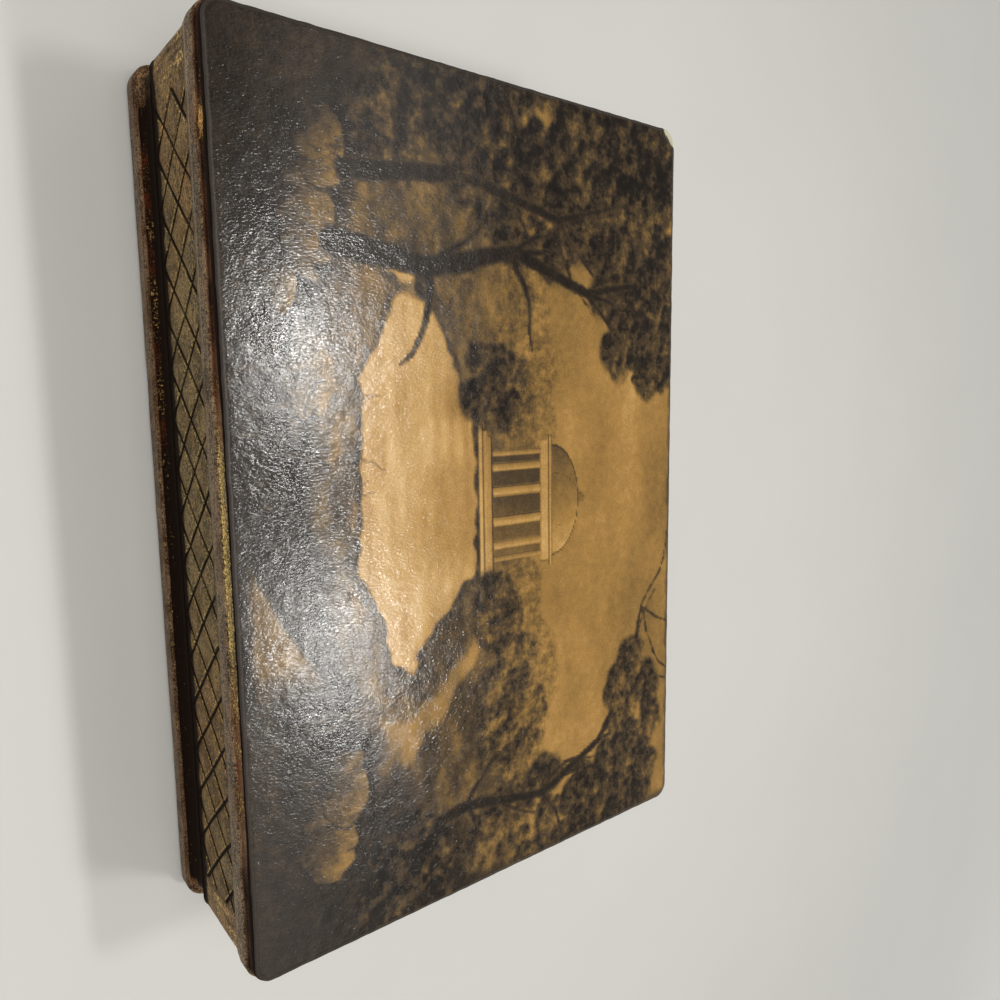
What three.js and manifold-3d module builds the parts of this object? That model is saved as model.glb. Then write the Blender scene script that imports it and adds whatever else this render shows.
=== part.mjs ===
// Gilt jewelry box: a low wooden box with a print on its lid, a routed lid and base,
// walls tooled with a diamond lattice, a velvet lining and a pair of mortised butt hinges.
// Millimetres. X runs along the length, Y to the hinge side, Z up. The origin is under the
// middle of the box, on the surface that it stands on. The lid is shut.

import * as THREE from 'three';
import { mergeVertices, toCreasedNormals } from 'three/addons/utils/BufferGeometryUtils.js';
import Module from 'manifold-3d';

const wasm = await Module();
wasm.setup();

// Box, over its widest outline, which is the base board's
const boxLength = 243.4;
const boxWidth = 163.2;
const cornerRadius = 6;

// Heights, from the table up
const feltThickness = 0.8;
const baseThickness = 17.2;
const wallHeight = 29.2;
const lidThickness = 11.4;
const printThickness = 0.4;

// Walls: front and back run through, the sides sit in rabbets at their ends
const baseSpread = 0.7;
const lidOverhang = 1.3;
const wallThickness = 8;
const wallCornerRadius = 3.5;
const wallTongue = 5;

// Diamond lattice, cut in the four walls
const latticePitch = 13.6;
const latticeRise = 15.3;
const latticeShift = 1.8;
const latticeMiddle = 15.3;
const latticeMargin = 0.9;
const plainCorner = 12.5;
const grooveWidth = 1;
const grooveDepth = 0.5;

// Moulded edge of the lid: an upper fillet, a small hollow and a band with a rounded arris
const lidStep = 0.95;
const lidFilletHeight = 2.3;
const lidHollow = 0.5;
const lidBandRound = 0.45;
const lidTopRound = 0.8;
const lidUnderRound = 0.8;

// Moulded edge of the base: a band with a rounded top, a ledge and a deep hollow, which turns
// out again to a lip under the wall
const baseBandHeight = 6.8;
const baseTopRound = 0.7;
const baseUnderRound = 1.4;
const baseLedge = 0.2;
const baseHollowFoot = 4;
const baseHollowDepth = 1;
const baseLip = 0.3;

// Print and felt
const printMargin = 0.35;
const chipLength = 6.5;
const feltMargin = 6;

// Lining
const linerThickness = 2;
const linerDrop = 3;
const dividerThickness = 3;
const dividerDrop = 8;
const ringBayLength = 62;
const floorPadThickness = 3;
const floorPadCrown = 1.4;
const lidPadThickness = 3;
const lidPadCrown = 2.2;
const lidPadMargin = 2.5;
const padPull = 1.2;
const padCorner = 5;
const rollCount = 4;
const rollHeight = 15;
const softGap = 0.4;

// Hinges
const hingeInset = 44.7;
const hingeLength = 30;
const knuckleCount = 5;
const barrelRadius = 1.8;
const pinRadius = 0.7;
const leafThickness = 1;
const leafMargin = 1.2;
const leafSink = 0.1;
const runningGap = 0.3;
const openAngle = 98;
const stopGap = 0.1;

// Hinge screws
const screwLength = 7;
const screwHeadRadius = 1.6;
const screwHeadHeight = 0.7;
const screwShankRadius = 0.8;
const screwMargin = 6;
const slotWidth = 0.45;
const slotDepth = 0.3;

// Smoothness of the curves
const cornerSteps = 6;
const profileSteps = 4;
const barrelSides = 16;
const screwSides = 12;
const creaseAngle = Math.PI / 5;

// Places that follow from the sizes
const baseTop = feltThickness + baseThickness;
const seam = baseTop + wallHeight;
const lidTop = seam + lidThickness;
const lidLength = boxLength - 2 * baseSpread;
const lidWidth = boxWidth - 2 * baseSpread;
const wallInset = baseSpread + lidOverhang;
const wallLength = boxLength - 2 * wallInset;
const wallWidth = boxWidth - 2 * wallInset;
const roomLength = wallLength - 2 * (wallThickness + linerThickness);
const roomWidth = wallWidth - 2 * (wallThickness + linerThickness);
const linerHeight = wallHeight - linerDrop;
const dividerHeight = wallHeight - dividerDrop;
const dividerX = -roomLength / 2 + ringBayLength + dividerThickness / 2;
const padBayLength = roomLength - ringBayLength - dividerThickness;
const padBayWidth = (roomWidth - dividerThickness) / 2;

// The pin sits behind the back wall just far enough for the lid's rear edge to clear the wall
// at the open angle
const openCos = Math.cos(THREE.MathUtils.degToRad(openAngle));
const openSin = Math.sin(THREE.MathUtils.degToRad(openAngle));
const edgeSwing = lidUnderRound * (1 - openSin) - (lidOverhang - lidUnderRound) * openCos;
const pinSetback = (stopGap + edgeSwing) / (1 - openCos);
const leafReach = wallThickness + pinSetback - leafMargin;
const barrelRoom = barrelRadius + runningGap;
const hingePlaces = [-1, 1].map((side) => side * (wallLength / 2 - hingeInset));

// Finishes
const finish = (name, color, roughness, metalness) =>
  new THREE.MeshStandardMaterial({ name, color, roughness, metalness });
const gilding = () => finish('antique_gilding', '#8a7346', 0.5, 0.6);
const darkGilding = () => finish('dark_gilding', '#5f4a2b', 0.5, 0.5);
const paper = () => finish('varnished_print', '#a3814c', 0.35, 0);
const velvet = () => finish('velvet', '#5b1f24', 0.95, 0);
const felt = () => finish('felt', '#39402f', 1, 0);
const brass = () => finish('brass', '#b08d4a', 0.35, 1);

// A closed geometry from points and triangles
function geometryFrom(points, triangles) {
  const geometry = new THREE.BufferGeometry();
  const positions = points.flatMap((point) => [point.x, point.y, point.z]);
  geometry.setAttribute('position', new THREE.Float32BufferAttribute(positions, 3));
  geometry.setIndex(triangles);
  return geometry;
}

// A solid through rings of points, with both ends capped by fans
function loft(rings) {
  const count = rings[0].length;
  const points = rings.flat();
  const triangles = [];
  for (let ring = 0; ring < rings.length - 1; ring += 1) {
    for (let step = 0; step < count; step += 1) {
      const here = ring * count + step;
      const next = ring * count + ((step + 1) % count);
      triangles.push(here, next, next + count, here, next + count, here + count);
    }
  }
  const cap = (first, flip) => {
    const middle = new THREE.Vector3();
    points.slice(first, first + count).forEach((point) => middle.add(point));
    const centre = points.push(middle.divideScalar(count)) - 1;
    for (let step = 0; step < count; step += 1) {
      const here = first + step;
      const next = first + ((step + 1) % count);
      triangles.push(centre, flip ? next : here, flip ? here : next);
    }
  };
  cap(0, true);
  cap((rings.length - 1) * count, false);
  return geometryFrom(points, triangles);
}

// Booleans on closed meshes
function toSolid(geometry) {
  const bare = geometry.clone();
  bare.deleteAttribute('normal');
  bare.deleteAttribute('uv');
  const merged = mergeVertices(bare, 1e-4);
  const vertProperties = new Float32Array(merged.attributes.position.array);
  const triVerts = new Uint32Array(merged.index.array);
  return new wasm.Manifold(new wasm.Mesh({ numProp: 3, vertProperties, triVerts }));
}

function toGeometry(solid) {
  const mesh = solid.getMesh();
  const geometry = new THREE.BufferGeometry();
  geometry.setAttribute('position', new THREE.BufferAttribute(mesh.vertProperties, 3));
  geometry.setIndex(new THREE.BufferAttribute(mesh.triVerts, 1));
  return geometry;
}

const join = (geometries) =>
  toGeometry(geometries.map(toSolid).reduce((sum, solid) => sum.add(solid)));

const cut = (geometry, cutters) =>
  toGeometry(toSolid(geometry).subtract(toSolid(join(cutters))));

// A box given by its lowest and highest corner
function block(low, high) {
  const geometry = new THREE.BoxGeometry(high[0] - low[0], high[1] - low[1], high[2] - low[2]);
  return geometry.translate((low[0] + high[0]) / 2, (low[1] + high[1]) / 2, (low[2] + high[2]) / 2);
}

// Points of an elliptic arc, its angles in degrees
function arc(centreX, centreY, radiusX, radiusY, from, to, steps = profileSteps) {
  return Array.from({ length: steps + 1 }, (_, step) => {
    const angle = THREE.MathUtils.degToRad(from + ((to - from) * step) / steps);
    return [centreX + radiusX * Math.cos(angle), centreY + radiusY * Math.sin(angle)];
  });
}

// One level of a board: the outline drawn in by an inset, its corners with it
function boardRing(length, width, radius, inset, z) {
  const round = Math.max(radius - inset, 0.2);
  const x = length / 2 - inset - round;
  const y = width / 2 - inset - round;
  const corners = [
    [x, -y, -90],
    [x, y, 0],
    [-x, y, 90],
    [-x, -y, 180],
  ];
  return corners.flatMap(([cx, cy, from]) =>
    arc(cx, cy, round, round, from, from + 90, cornerSteps).map(([px, py]) => new THREE.Vector3(px, py, z)),
  );
}

// A board whose edge follows a profile of [inset, height], listed from the bottom up
const mouldedBoard = (length, width, profile) =>
  loft(profile.map(([inset, z]) => boardRing(length, width, cornerRadius, inset, z)));

// Lid board, from its underside at zero
function lidBoard() {
  const filletFoot = lidThickness - lidTopRound - lidFilletHeight;
  const hollowFoot = filletFoot - lidHollow;
  const profile = [
    ...arc(lidUnderRound, lidUnderRound, lidUnderRound, lidUnderRound, 270, 180),
    ...arc(lidBandRound, hollowFoot - lidBandRound, lidBandRound, lidBandRound, 180, 90),
    ...arc(lidStep - lidHollow, filletFoot, lidHollow, lidHollow, 270, 360),
    ...arc(lidStep + lidTopRound, lidThickness - lidTopRound, lidTopRound, lidTopRound, 180, 90),
  ];
  return mouldedBoard(lidLength, lidWidth, profile);
}

// Base board, from its underside at zero
function baseBoard() {
  const start = baseTopRound + baseLedge;
  const turn = baseBandHeight + baseHollowFoot;
  const deepest = wallInset + baseHollowDepth;
  const lip = wallInset - baseLip;
  const profile = [
    ...arc(baseUnderRound, baseUnderRound, baseUnderRound, baseUnderRound, 270, 180),
    ...arc(baseTopRound, baseBandHeight - baseTopRound, baseTopRound, baseTopRound, 180, 90),
    ...arc(start, turn, deepest - start, baseHollowFoot, 270, 360),
    ...arc(lip, turn, deepest - lip, baseThickness - turn, 0, 90).slice(1),
  ];
  return mouldedBoard(boxLength, boxWidth, profile);
}

// Print: a thin sheet that covers the lid's top, chipped at the rear left corner
function printSheet() {
  const inset = lidStep + printMargin;
  const x = lidLength / 2 - inset;
  const y = lidWidth / 2 - inset;
  const round = Math.max(cornerRadius - inset, 0.2);
  const shape = new THREE.Shape();
  shape.moveTo(-x + round, -y);
  shape.lineTo(x - round, -y);
  shape.absarc(x - round, -y + round, round, -Math.PI / 2, 0);
  shape.lineTo(x, y - round);
  shape.absarc(x - round, y - round, round, 0, Math.PI / 2);
  shape.lineTo(-x + chipLength, y);
  shape.quadraticCurveTo(-x + chipLength * 0.4, y - chipLength * 0.45, -x, y - chipLength);
  shape.lineTo(-x, -y + round);
  shape.absarc(-x + round, -y + round, round, Math.PI, Math.PI * 1.5);
  const settings = { depth: printThickness, bevelEnabled: false, curveSegments: cornerSteps / 2 };
  return new THREE.ExtrudeGeometry(shape, settings);
}

// One V groove on the face y = 0, from one point [x, z] to another
function groove([x0, z0], [x1, z1]) {
  const shape = new THREE.Shape();
  shape.moveTo(0, grooveDepth);
  shape.lineTo(grooveWidth, -grooveDepth);
  shape.lineTo(-grooveWidth, -grooveDepth);
  shape.closePath();
  const along = new THREE.Vector3(x1 - x0, 0, z1 - z0);
  const geometry = new THREE.ExtrudeGeometry(shape, { depth: along.length(), bevelEnabled: false });
  along.normalize();
  const inward = new THREE.Vector3(0, 1, 0);
  const across = new THREE.Vector3().crossVectors(inward, along);
  const place = new THREE.Matrix4().makeBasis(across, inward, along).setPosition(x0, 0, z0);
  return geometry.applyMatrix4(place);
}

// Lattice for a wall of some length: lines of both slopes, clipped to the field
function lattice(length) {
  const side = length / 2 - plainCorner;
  const low = latticeMargin;
  const high = wallHeight - latticeMargin;
  const slope = latticeRise / latticePitch;
  const reach = side + wallHeight / slope;
  const lines = [];
  for (let turn = -Math.ceil(reach / latticePitch); turn * latticePitch < reach; turn += 1) {
    const middle = turn * latticePitch + latticeShift;
    for (const run of [1 / slope, -1 / slope]) {
      const ends = [low, high].map((z) => middle + (z - latticeMiddle) * run);
      const clipped = ends.map((x) => THREE.MathUtils.clamp(x, -side, side));
      const points = clipped.map((x) => [x, latticeMiddle + (x - middle) / run]);
      if (Math.abs(clipped[1] - clipped[0]) > 2 * grooveWidth) lines.push(groove(...points));
    }
  }
  return lines;
}

// A wall that runs the full length, its outer face on y = 0, with a rabbet for each side wall
function longWall() {
  const x = wallLength / 2;
  const round = Math.min(wallCornerRadius, wallTongue);
  const shape = new THREE.Shape();
  shape.moveTo(-x + round, 0);
  shape.lineTo(x - round, 0);
  shape.absarc(x - round, round, round, -Math.PI / 2, 0);
  shape.lineTo(x, wallTongue);
  shape.lineTo(x - wallThickness, wallTongue);
  shape.lineTo(x - wallThickness, wallThickness);
  shape.lineTo(-x + wallThickness, wallThickness);
  shape.lineTo(-x + wallThickness, wallTongue);
  shape.lineTo(-x, wallTongue);
  shape.lineTo(-x, round);
  shape.absarc(-x + round, round, round, Math.PI, Math.PI * 1.5);
  const settings = { depth: wallHeight, bevelEnabled: false, curveSegments: cornerSteps / 2 };
  return new THREE.ExtrudeGeometry(shape, settings);
}

// A side wall, its outer face on y = 0
function sideWall() {
  const x = wallWidth / 2 - wallTongue;
  return block([-x, 0, 0], [x, wallThickness, wallHeight]);
}

// Room for one hinge in a member whose seam face is z = 0: `up` is 1 for the lid, -1 for the
// wall, and y = 0 is the pin's line, with the box in front of it at negative y
function hingeRoom(up) {
  const half = hingeLength / 2 + runningGap;
  const past = 2 * lidOverhang;
  const rise = (depth) => (up > 0 ? [-past, depth] : [-depth, past]);
  const slab = (front, depth) => {
    const [low, high] = rise(depth);
    return block([-half, front, low], [half, past, high]);
  };
  const pocket = slab(-leafReach - runningGap, leafSink + leafThickness);
  const trough = slab(-barrelRoom, barrelRoom);
  return [pocket, trough, ...screwPlaces().map(([x, y]) => screwRoom(up).translate(x, y, 0))];
}

// Where the screws stand in a leaf
function screwPlaces() {
  const y = -(barrelRoom + leafReach) / 2;
  const reach = hingeLength / 2 - screwMargin;
  return [-reach, reach].map((x) => [x, y]);
}

// A countersunk screw that points up, its head's face on z = 0, grown all round by a clearance
function screwBody(clearance) {
  const head = screwHeadRadius + clearance;
  const shank = screwShankRadius + clearance;
  const profile = [
    [0, -clearance],
    [head, -clearance],
    [head, 0.1],
    [shank, screwHeadHeight],
    [shank, screwLength - shank],
    [0, screwLength + clearance],
  ];
  const points = profile.map(([radius, height]) => new THREE.Vector2(radius, height));
  return new THREE.LatheGeometry(points, screwSides).rotateX(Math.PI / 2);
}

function screw() {
  const past = 2 * screwHeadRadius;
  const slot = block([-past, -slotWidth / 2, -past], [past, slotWidth / 2, slotDepth]);
  return cut(screwBody(0), [slot]);
}

// The hole for a screw, in the lid or the wall
function screwRoom(up) {
  const room = screwBody(runningGap).translate(0, 0, leafSink);
  return up > 0 ? room : room.rotateX(Math.PI);
}

// A hinge leaf in the lid's place, its pin's line on the X axis: a plate that stops short of the
// barrel, and a tab from the plate to each of the leaf's own knuckles
function hingeLeaf(ownKnuckles) {
  const step = hingeLength / knuckleCount;
  const half = hingeLength / 2;
  const top = leafSink + leafThickness;
  const weld = (barrelRadius + pinRadius + runningGap) / 2;
  const ring = new THREE.Shape().absarc(0, 0, barrelRadius, 0, Math.PI * 2);
  ring.holes.push(new THREE.Path().absarc(0, 0, pinRadius + runningGap, 0, Math.PI * 2, true));
  const pieces = [block([-half, -leafReach, leafSink], [half, -barrelRoom, top])];
  for (let knuckle = 0; knuckle < knuckleCount; knuckle += 1) {
    if (!ownKnuckles(knuckle)) continue;
    const left = -half + knuckle * step + runningGap / 2;
    const right = left + step - runningGap;
    const settings = { depth: right - left, bevelEnabled: false, curveSegments: barrelSides / 2 };
    const tube = new THREE.ExtrudeGeometry(ring, settings).rotateY(Math.PI / 2);
    pieces.push(tube.translate(left, 0, 0));
    pieces.push(block([left, -barrelRoom - leafThickness, leafSink], [right, -weld, top]));
  }
  return cut(join(pieces), screwPlaces().map(([x, y]) => screwRoom(1).translate(x, y, 0)));
}

// A flat-backed cushion on z = 0: sides that pull in between the corners, and a crowned top
function cushion(length, width, thickness, crown) {
  const level = (shrink, inset, z) => {
    const x = length / 2 - inset;
    const y = width / 2 - inset;
    return boardRing(length, width, padCorner, inset, z).map((point) => {
      const pullX = padPull * (1 - (point.y / y) ** 2) * (point.x / x);
      const pullY = padPull * (1 - (point.x / x) ** 2) * (point.y / y);
      return new THREE.Vector3((point.x - pullX) * shrink, (point.y - pullY) * shrink, z);
    });
  };
  const edge = thickness / 2;
  const sides = arc(edge, edge, edge, edge, 240, 90).map(([inset, z]) => level(1, inset, z));
  const shrinks = [0.94, 0.86, 0.74, 0.58, 0.38, 0.16];
  const top = shrinks.map((shrink) => level(shrink, edge, thickness + crown * (1 - shrink ** 2.6)));
  const foot = level(1, edge * 1.3, 0);
  return loft([foot, ...sides.slice(1), ...top]);
}

// A ring roll along Y: a padded roll with a flat foot and domed ends
function ringRoll(width, length) {
  const half = width / 2;
  const foot = half * 0.55;
  const section = [
    [-foot, 0],
    [foot, 0],
    ...arc(0, rollHeight - half, half, half, -30, 210, 12),
  ];
  const dome = [
    [0, 0.55],
    [0.06, 0.76],
    [0.22, 0.9],
    [0.5, 0.98],
    [1, 1],
  ];
  const stations = [
    ...dome.map(([reach, scale]) => [-length / 2 + reach * half, scale]),
    ...dome.toReversed().map(([reach, scale]) => [length / 2 - reach * half, scale]),
  ];
  return loft(stations.map(([y, scale]) =>
    section.map(([x, z]) => new THREE.Vector3(x * scale, y, z * scale)).toReversed(),
  ));
}

// A lining card that stands on the base, its velvet turned over a rounded top edge
function liner(length, thickness, height) {
  const round = thickness / 2;
  const profile = [[-round, 0], [round, 0], ...arc(0, height - round, round, round, 0, 180)];
  const shape = new THREE.Shape(profile.map(([x, y]) => new THREE.Vector2(x, y)));
  const card = new THREE.ExtrudeGeometry(shape, { depth: length, bevelEnabled: false });
  return card.translate(0, 0, -length / 2).rotateX(Math.PI / 2).rotateZ(Math.PI / 2);
}

// Puts a named piece in its parent, smooth over its curves and sharp at its edges
function add(parent, name, geometry, material, position = [0, 0, 0], turn = 0) {
  const mesh = new THREE.Mesh(toCreasedNormals(geometry, creaseAngle), material);
  mesh.name = name;
  mesh.position.set(...position);
  mesh.rotation.z = turn;
  parent.add(mesh);
  return mesh;
}

// Case: felt, base and walls
function addCase(box) {
  const feltRing = (z) => boardRing(boxLength, boxWidth, cornerRadius + feltMargin, feltMargin, z);
  add(box, 'base_felt', loft([feltRing(0), feltRing(feltThickness)]), felt());
  add(box, 'base_board', baseBoard(), darkGilding(), [0, 0, feltThickness]);

  const frontWall = cut(longWall(), lattice(wallLength));
  const rooms = hingePlaces.flatMap((x) =>
    hingeRoom(-1).map((room) => room.rotateZ(Math.PI).translate(x, -pinSetback, wallHeight)),
  );
  const backWall = cut(longWall(), [...lattice(wallLength), ...rooms]);
  const endWall = cut(sideWall(), lattice(wallWidth));
  add(box, 'wall_front', frontWall, gilding(), [0, -wallWidth / 2, baseTop]);
  add(box, 'wall_right', endWall, gilding(), [wallLength / 2, 0, baseTop], Math.PI / 2);
  add(box, 'wall_back', backWall, gilding(), [0, wallWidth / 2, baseTop], Math.PI);
  add(box, 'wall_left', endWall.clone(), gilding(), [-wallLength / 2, 0, baseTop], -Math.PI / 2);
}

// Lining of the case: cards round the walls, dividers, floor pads and ring rolls
function addLining(box) {
  const longCard = roomLength + 2 * linerThickness;
  const cardY = (roomWidth + linerThickness) / 2;
  const cardX = (roomLength + linerThickness) / 2;
  add(box, 'liner_front', liner(longCard, linerThickness, linerHeight), velvet(), [0, -cardY, baseTop]);
  add(box, 'liner_back', liner(longCard, linerThickness, linerHeight), velvet(), [0, cardY, baseTop]);
  for (const [name, x] of [['liner_left', -cardX], ['liner_right', cardX]]) {
    const card = liner(roomWidth, linerThickness, linerHeight);
    add(box, name, card, velvet(), [x, 0, baseTop], Math.PI / 2);
  }

  const cross = liner(roomWidth, dividerThickness, dividerHeight);
  add(box, 'divider_cross', cross, velvet(), [dividerX, 0, baseTop], Math.PI / 2);
  const bayX = roomLength / 2 - padBayLength / 2;
  const long = liner(padBayLength, dividerThickness, dividerHeight);
  add(box, 'divider_long', long, velvet(), [bayX, 0, baseTop]);

  const bayY = (padBayWidth + dividerThickness) / 2;
  for (const [name, y] of [['floor_pad_front', -bayY], ['floor_pad_back', bayY]]) {
    const length = padBayLength - 2 * softGap;
    const width = padBayWidth - 2 * softGap;
    const pad = cushion(length, width, floorPadThickness, floorPadCrown);
    add(box, name, pad, velvet(), [bayX, y, baseTop]);
  }

  const rollPitch = ringBayLength / rollCount;
  for (let roll = 0; roll < rollCount; roll += 1) {
    const x = -roomLength / 2 + (roll + 0.5) * rollPitch;
    const geometry = ringRoll(rollPitch - softGap, roomWidth - 2 * softGap);
    add(box, `ring_roll_${roll + 1}`, geometry, velvet(), [x, 0, baseTop]);
  }
}

// Lid: board, print and the padded panel under it
function addLid(box) {
  const pinY = wallWidth / 2 + pinSetback;
  const rooms = hingePlaces.flatMap((x) => hingeRoom(1).map((room) => room.translate(x, pinY, 0)));
  add(box, 'lid_board', cut(lidBoard(), rooms), darkGilding(), [0, 0, seam]);
  add(box, 'lid_print', printSheet(), paper(), [0, 0, lidTop]);
  const length = roomLength - 2 * lidPadMargin;
  const width = roomWidth - 2 * lidPadMargin;
  const pad = cushion(length, width, lidPadThickness, lidPadCrown).rotateX(Math.PI);
  add(box, 'lid_pad', pad, velvet(), [0, 0, seam]);
}

// One hinge on the pin's line: the fixed leaf is let into the wall, the moving leaf into the lid
function addHinge(box, side, x) {
  const hinge = new THREE.Group();
  hinge.position.set(x, wallWidth / 2 + pinSetback, seam);
  box.add(hinge);
  const fixedKnuckle = (knuckle) => knuckle % 2 === 0;
  const fixedLeaf = hingeLeaf(fixedKnuckle).scale(1, 1, -1);
  const turned = fixedLeaf.index.array.slice().reverse();
  fixedLeaf.setIndex(new THREE.BufferAttribute(turned, 1));
  add(hinge, `hinge_${side}_wall_leaf`, fixedLeaf, brass());
  add(hinge, `hinge_${side}_lid_leaf`, hingeLeaf((knuckle) => !fixedKnuckle(knuckle)), brass());

  const pin = new THREE.CylinderGeometry(pinRadius, pinRadius, hingeLength, screwSides);
  add(hinge, `hinge_${side}_pin`, pin.rotateZ(Math.PI / 2), brass());

  screwPlaces().forEach(([screwX, screwY], place) => {
    const lidScrew = add(hinge, `hinge_${side}_lid_screw_${place + 1}`, screw(), brass());
    lidScrew.position.set(screwX, screwY, leafSink);
    const wallScrew = add(hinge, `hinge_${side}_wall_screw_${place + 1}`, screw(), brass());
    wallScrew.position.set(screwX, screwY, -leafSink);
    wallScrew.rotation.x = Math.PI;
  });
}

const box = new THREE.Group();
addCase(box);
addLining(box);
addLid(box);
addHinge(box, 'left', hingePlaces[0]);
addHinge(box, 'right', hingePlaces[1]);

export default box;
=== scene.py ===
"""Gilt jewelry box: its gilding, mouldings, varnished print, velvet and satin lining and brass."""

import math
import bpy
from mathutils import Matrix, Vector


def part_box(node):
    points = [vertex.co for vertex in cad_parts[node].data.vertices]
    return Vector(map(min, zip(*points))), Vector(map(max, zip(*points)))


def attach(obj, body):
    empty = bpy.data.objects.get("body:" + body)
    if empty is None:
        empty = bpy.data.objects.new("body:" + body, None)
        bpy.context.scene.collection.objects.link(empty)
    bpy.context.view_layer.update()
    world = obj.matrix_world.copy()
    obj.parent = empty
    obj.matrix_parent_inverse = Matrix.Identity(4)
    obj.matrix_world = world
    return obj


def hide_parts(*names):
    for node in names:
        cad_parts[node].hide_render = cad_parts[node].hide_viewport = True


bl_info = {
    "name": "Gilt Jewelry Box",
    "version": (1, 0, 0),
    "blender": (4, 5, 0),
    "location": "3D View > Sidebar > Gilt Box",
    "description": "Builds the finished surfaces of a gilt wooden jewelry box round its joinery",
    "category": "Object",
}

from functools import partial

import bmesh
import bpy
import numpy as np
from bpy.props import FloatProperty, FloatVectorProperty, IntProperty, PointerProperty
from mathutils import Matrix, Vector

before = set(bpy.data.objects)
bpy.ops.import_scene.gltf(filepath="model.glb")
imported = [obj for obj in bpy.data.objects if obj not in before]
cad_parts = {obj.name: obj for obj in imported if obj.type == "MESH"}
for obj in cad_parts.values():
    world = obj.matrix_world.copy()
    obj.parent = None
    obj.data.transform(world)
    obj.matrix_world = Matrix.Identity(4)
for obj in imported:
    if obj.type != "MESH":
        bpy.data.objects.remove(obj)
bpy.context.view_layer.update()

MM = 0.001


# Shared tools


def linear(code):
    """Linear RGB from an sRGB hex colour."""
    parts = [int(code[place : place + 2], 16) / 255 for place in (1, 3, 5)]
    return [c / 12.92 if c <= 0.04045 else ((c + 0.055) / 1.055) ** 2.4 for c in parts]


def colour(name, description, code):
    """A colour that a user may change, from its sRGB hex default."""
    settings = {"subtype": "COLOR", "min": 0, "max": 1, "default": linear(code)}
    return FloatVectorProperty(name=name, description=description, **settings)


def length(name, description, millimetres):
    """A length that a user may change, from its default in millimetres."""
    settings = {"unit": "LENGTH", "subtype": "DISTANCE", "default": millimetres * MM}
    return FloatProperty(name=name, description=description, **settings)


def strength(name, description, default):
    """The power of a lamp, in watts, that a user may change."""
    return FloatProperty(name=name, description=description, default=default, unit="POWER")


def smooth_noise(points, size, seed, layers=1):
    """Smooth random values, about -1 to 1, that change over a length of `size`."""
    cells = 40
    table = np.random.default_rng(seed).uniform(-1, 1, (cells, cells, cells))
    total = np.zeros(len(points))
    for layer in range(layers):
        place = np.asarray(points, float) * 2**layer / size
        corner = np.floor(place).astype(int)
        share = place - corner
        share = share * share * (3 - 2 * share)
        for offset in np.ndindex(2, 2, 2):
            weight = np.prod(np.where(offset, share, 1 - share), axis=1)
            total += weight * table[tuple(((corner + offset) % cells).T)] / 2**layer
    return total


def ramp(value, low, high):
    """Rises smoothly from 0 at `low` to 1 at `high`; the two may be given in either order."""
    share = np.clip((value - low) / (high - low), 0, 1)
    return share * share * (3 - 2 * share)


def arc(centre_x, centre_y, radius_x, radius_y, start, end, steps=7):
    """Points of an elliptic arc, its angles in degrees."""
    angles = np.radians(np.linspace(start, end, steps + 1))
    return [(centre_x + radius_x * math.cos(a), centre_y + radius_y * math.sin(a)) for a in angles]


def divided(profile, step):
    """A profile with its long stretches divided into short ones."""
    rows = [profile[0]]
    for (x0, y0), (x1, y1) in zip(profile, profile[1:]):
        count = max(1, math.ceil(math.hypot(x1 - x0, y1 - y0) / step))
        rows += [(x0 + (x1 - x0) * k / count, y0 + (y1 - y0) * k / count) for k in range(1, count + 1)]
    return np.array(rows)


def tube_faces(rings, count, flipped=False):
    """Faces of a tube of `rings` rings of `count` points each, closed at both ends."""
    first, last = tuple(range(count)), tuple(range((rings - 1) * count, rings * count))
    faces = [first, last[::-1]] if flipped else [first[::-1], last]
    for start in range(0, (rings - 1) * count, count):
        for step in range(count):
            here, after = start + step, start + (step + 1) % count
            second, fourth = (here + count, after) if flipped else (after, here + count)
            faces.append((here, second, after + count, fourth))
    return faces


def new_mesh(name, points, faces):
    """A mesh from arrays or lists of points and faces."""
    mesh = bpy.data.meshes.new(name)
    mesh.from_pydata(np.asarray(points).tolist(), [], faces)
    mesh.update()
    return mesh


def net_faces(columns, rows):
    """The cells of a net whose points are counted up each column in turn."""
    corner = np.arange(columns * rows).reshape(columns, rows)
    return np.stack([corner[:-1, :-1], corner[1:, :-1], corner[1:, 1:], corner[:-1, 1:]], -1).reshape(-1, 4)


def new_piece(name, mesh, material):
    """A linked object with one material, smooth except at its sharp edges."""
    piece = bpy.data.objects.new(name, mesh)
    bpy.context.scene.collection.objects.link(piece)
    mesh.materials.clear()
    mesh.materials.append(material)
    mesh.polygons.foreach_set("use_smooth", [True] * len(mesh.polygons))
    mesh.set_sharp_from_angle(angle=math.radians(38))
    return piece


def paint(mesh, **layers):
    """Stores values on a mesh's points, one named layer each; points past the list get 0."""
    for name, values in layers.items():
        values = np.asarray(values, np.float32)
        kind, field = ("FLOAT_VECTOR", "vector") if values.ndim == 2 else ("FLOAT", "value")
        padded = np.zeros((len(mesh.vertices), *values.shape[1:]), np.float32)
        padded[: len(values)] = values
        layer = mesh.attributes.new(name, kind, "POINT")
        layer.data.foreach_set(field, padded.ravel())


def settle(piece, body, slot, *nodes):
    """Lets a piece ride on its body and hides the solids that it stands for; `slot` is not used."""
    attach(piece, body)
    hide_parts(*nodes)


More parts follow.
